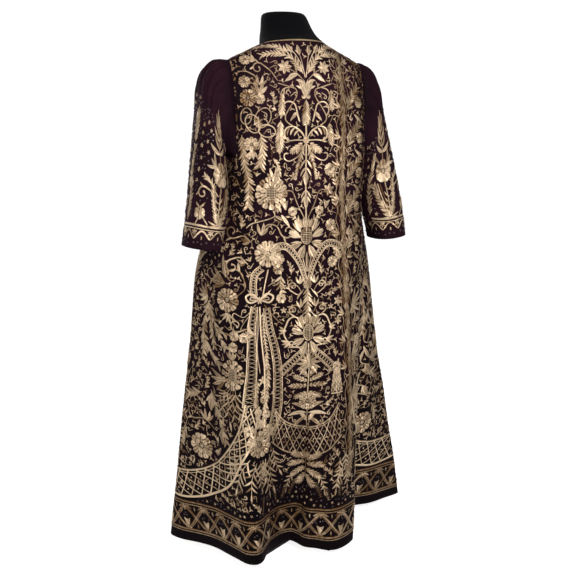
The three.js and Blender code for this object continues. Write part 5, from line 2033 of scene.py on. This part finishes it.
# ------------ stage
FRAME = 570  # the picture's width and height in pixels
FOCAL = 857  # the camera's focal length in the same pixels
SHIFT = (-5, 8.3)
SENSOR = 36
VIEW_ANGLE = math.radians(25)
VIEW_DISTANCE = 2.3
CAMERA_HEIGHT = 1.2
LOOK_AT = (0, 0, 0.72)
WHITE, PALE, DIM = (1, 1, 1, 1), (0.86, 0.86, 0.86, 1), (0.2, 0.2, 0.2, 1)


def aimed(obj, place, target):
    """Puts an object at a place, its own -Z towards another."""
    back = unit(np.asarray(place, float) - np.asarray(target, float))
    right = unit(np.cross([0, 0, 1], back))
    up = np.cross(back, right)
    turn = np.array([right, up, back]).T
    obj.matrix_world = Matrix([[*row, p] for row, p in zip(turn.tolist(), list(place))] + [[0, 0, 0, 1]])


def add_camera():
    data = bpy.data.cameras.new("camera")
    data.lens = SENSOR * FOCAL / FRAME
    data.sensor_width = SENSOR
    data.shift_x, data.shift_y = (shift / FRAME for shift in SHIFT)
    camera = linked("camera", data)
    x, y = VIEW_DISTANCE * math.sin(VIEW_ANGLE), VIEW_DISTANCE * math.cos(VIEW_ANGLE)
    aimed(camera, (x, y, CAMERA_HEIGHT), LOOK_AT)
    bpy.context.scene.camera = camera


def area_light(name, place, target, power, size, tint=(1, 1, 1), spread=180):
    data = bpy.data.lights.new(name, "AREA")
    data.energy, data.shape, data.size, data.color = power, "DISK", size, tint
    data.spread = math.radians(spread)
    aimed(linked(name, data), place, target)


def add_walls():
    """The studio's white walls: bright to look at, and a weak light on the garment."""
    world = bpy.data.worlds.new("studio")
    world.use_nodes = True
    tree = world.node_tree
    background = tree.nodes["Background"]
    background.inputs["Color"].default_value = WHITE
    seen = tree.nodes.new("ShaderNodeLightPath")
    strength = tree.nodes.new("ShaderNodeMapRange")
    strength.inputs["To Min"].default_value = 0.2
    strength.inputs["To Max"].default_value = 1.1
    tree.links.new(seen.outputs["Is Camera Ray"], strength.inputs["Value"])
    tree.links.new(strength.outputs["Result"], background.inputs["Strength"])
    bpy.context.scene.world = world


def floor_finish():
    f = Finish("pale_floor")
    seen = f.node("ShaderNodeLightPath", {}).number()
    f.set(
        Base_Color=f.blend(f.noise(1.5), PALE, (0.9, 0.9, 0.9, 1)),
        Roughness=0.9,
        Emission_Color=f.blend(seen, DIM, PALE),
        Emission_Strength=1.0,
    )
    return f.material


def add_floor(reach):
    corners = reach * np.array([(-1, -1, 0), (1, -1, 0), (1, 1, 0), (-1, 1, 0)], float)
    make_mesh("floor", corners, [np.array([[0, 1, 2, 3]])], [floor_finish()])


add_camera()
area_light("key", (0.55, 2.95, 2.5), (0.02, 0, 1.17), 13, 0.4, (0.96, 0.96, 0.98), 66)
area_light("side", (3.4, 1.4, 1.9), (0, 0, 0.9), 16, 1.4)
area_light("front", (0.5, -3.2, 2.0), (0, 0, 0.8), 30, 1.8)
add_walls()
add_floor(9000)
bpy.context.scene.view_settings.view_transform = "Standard"
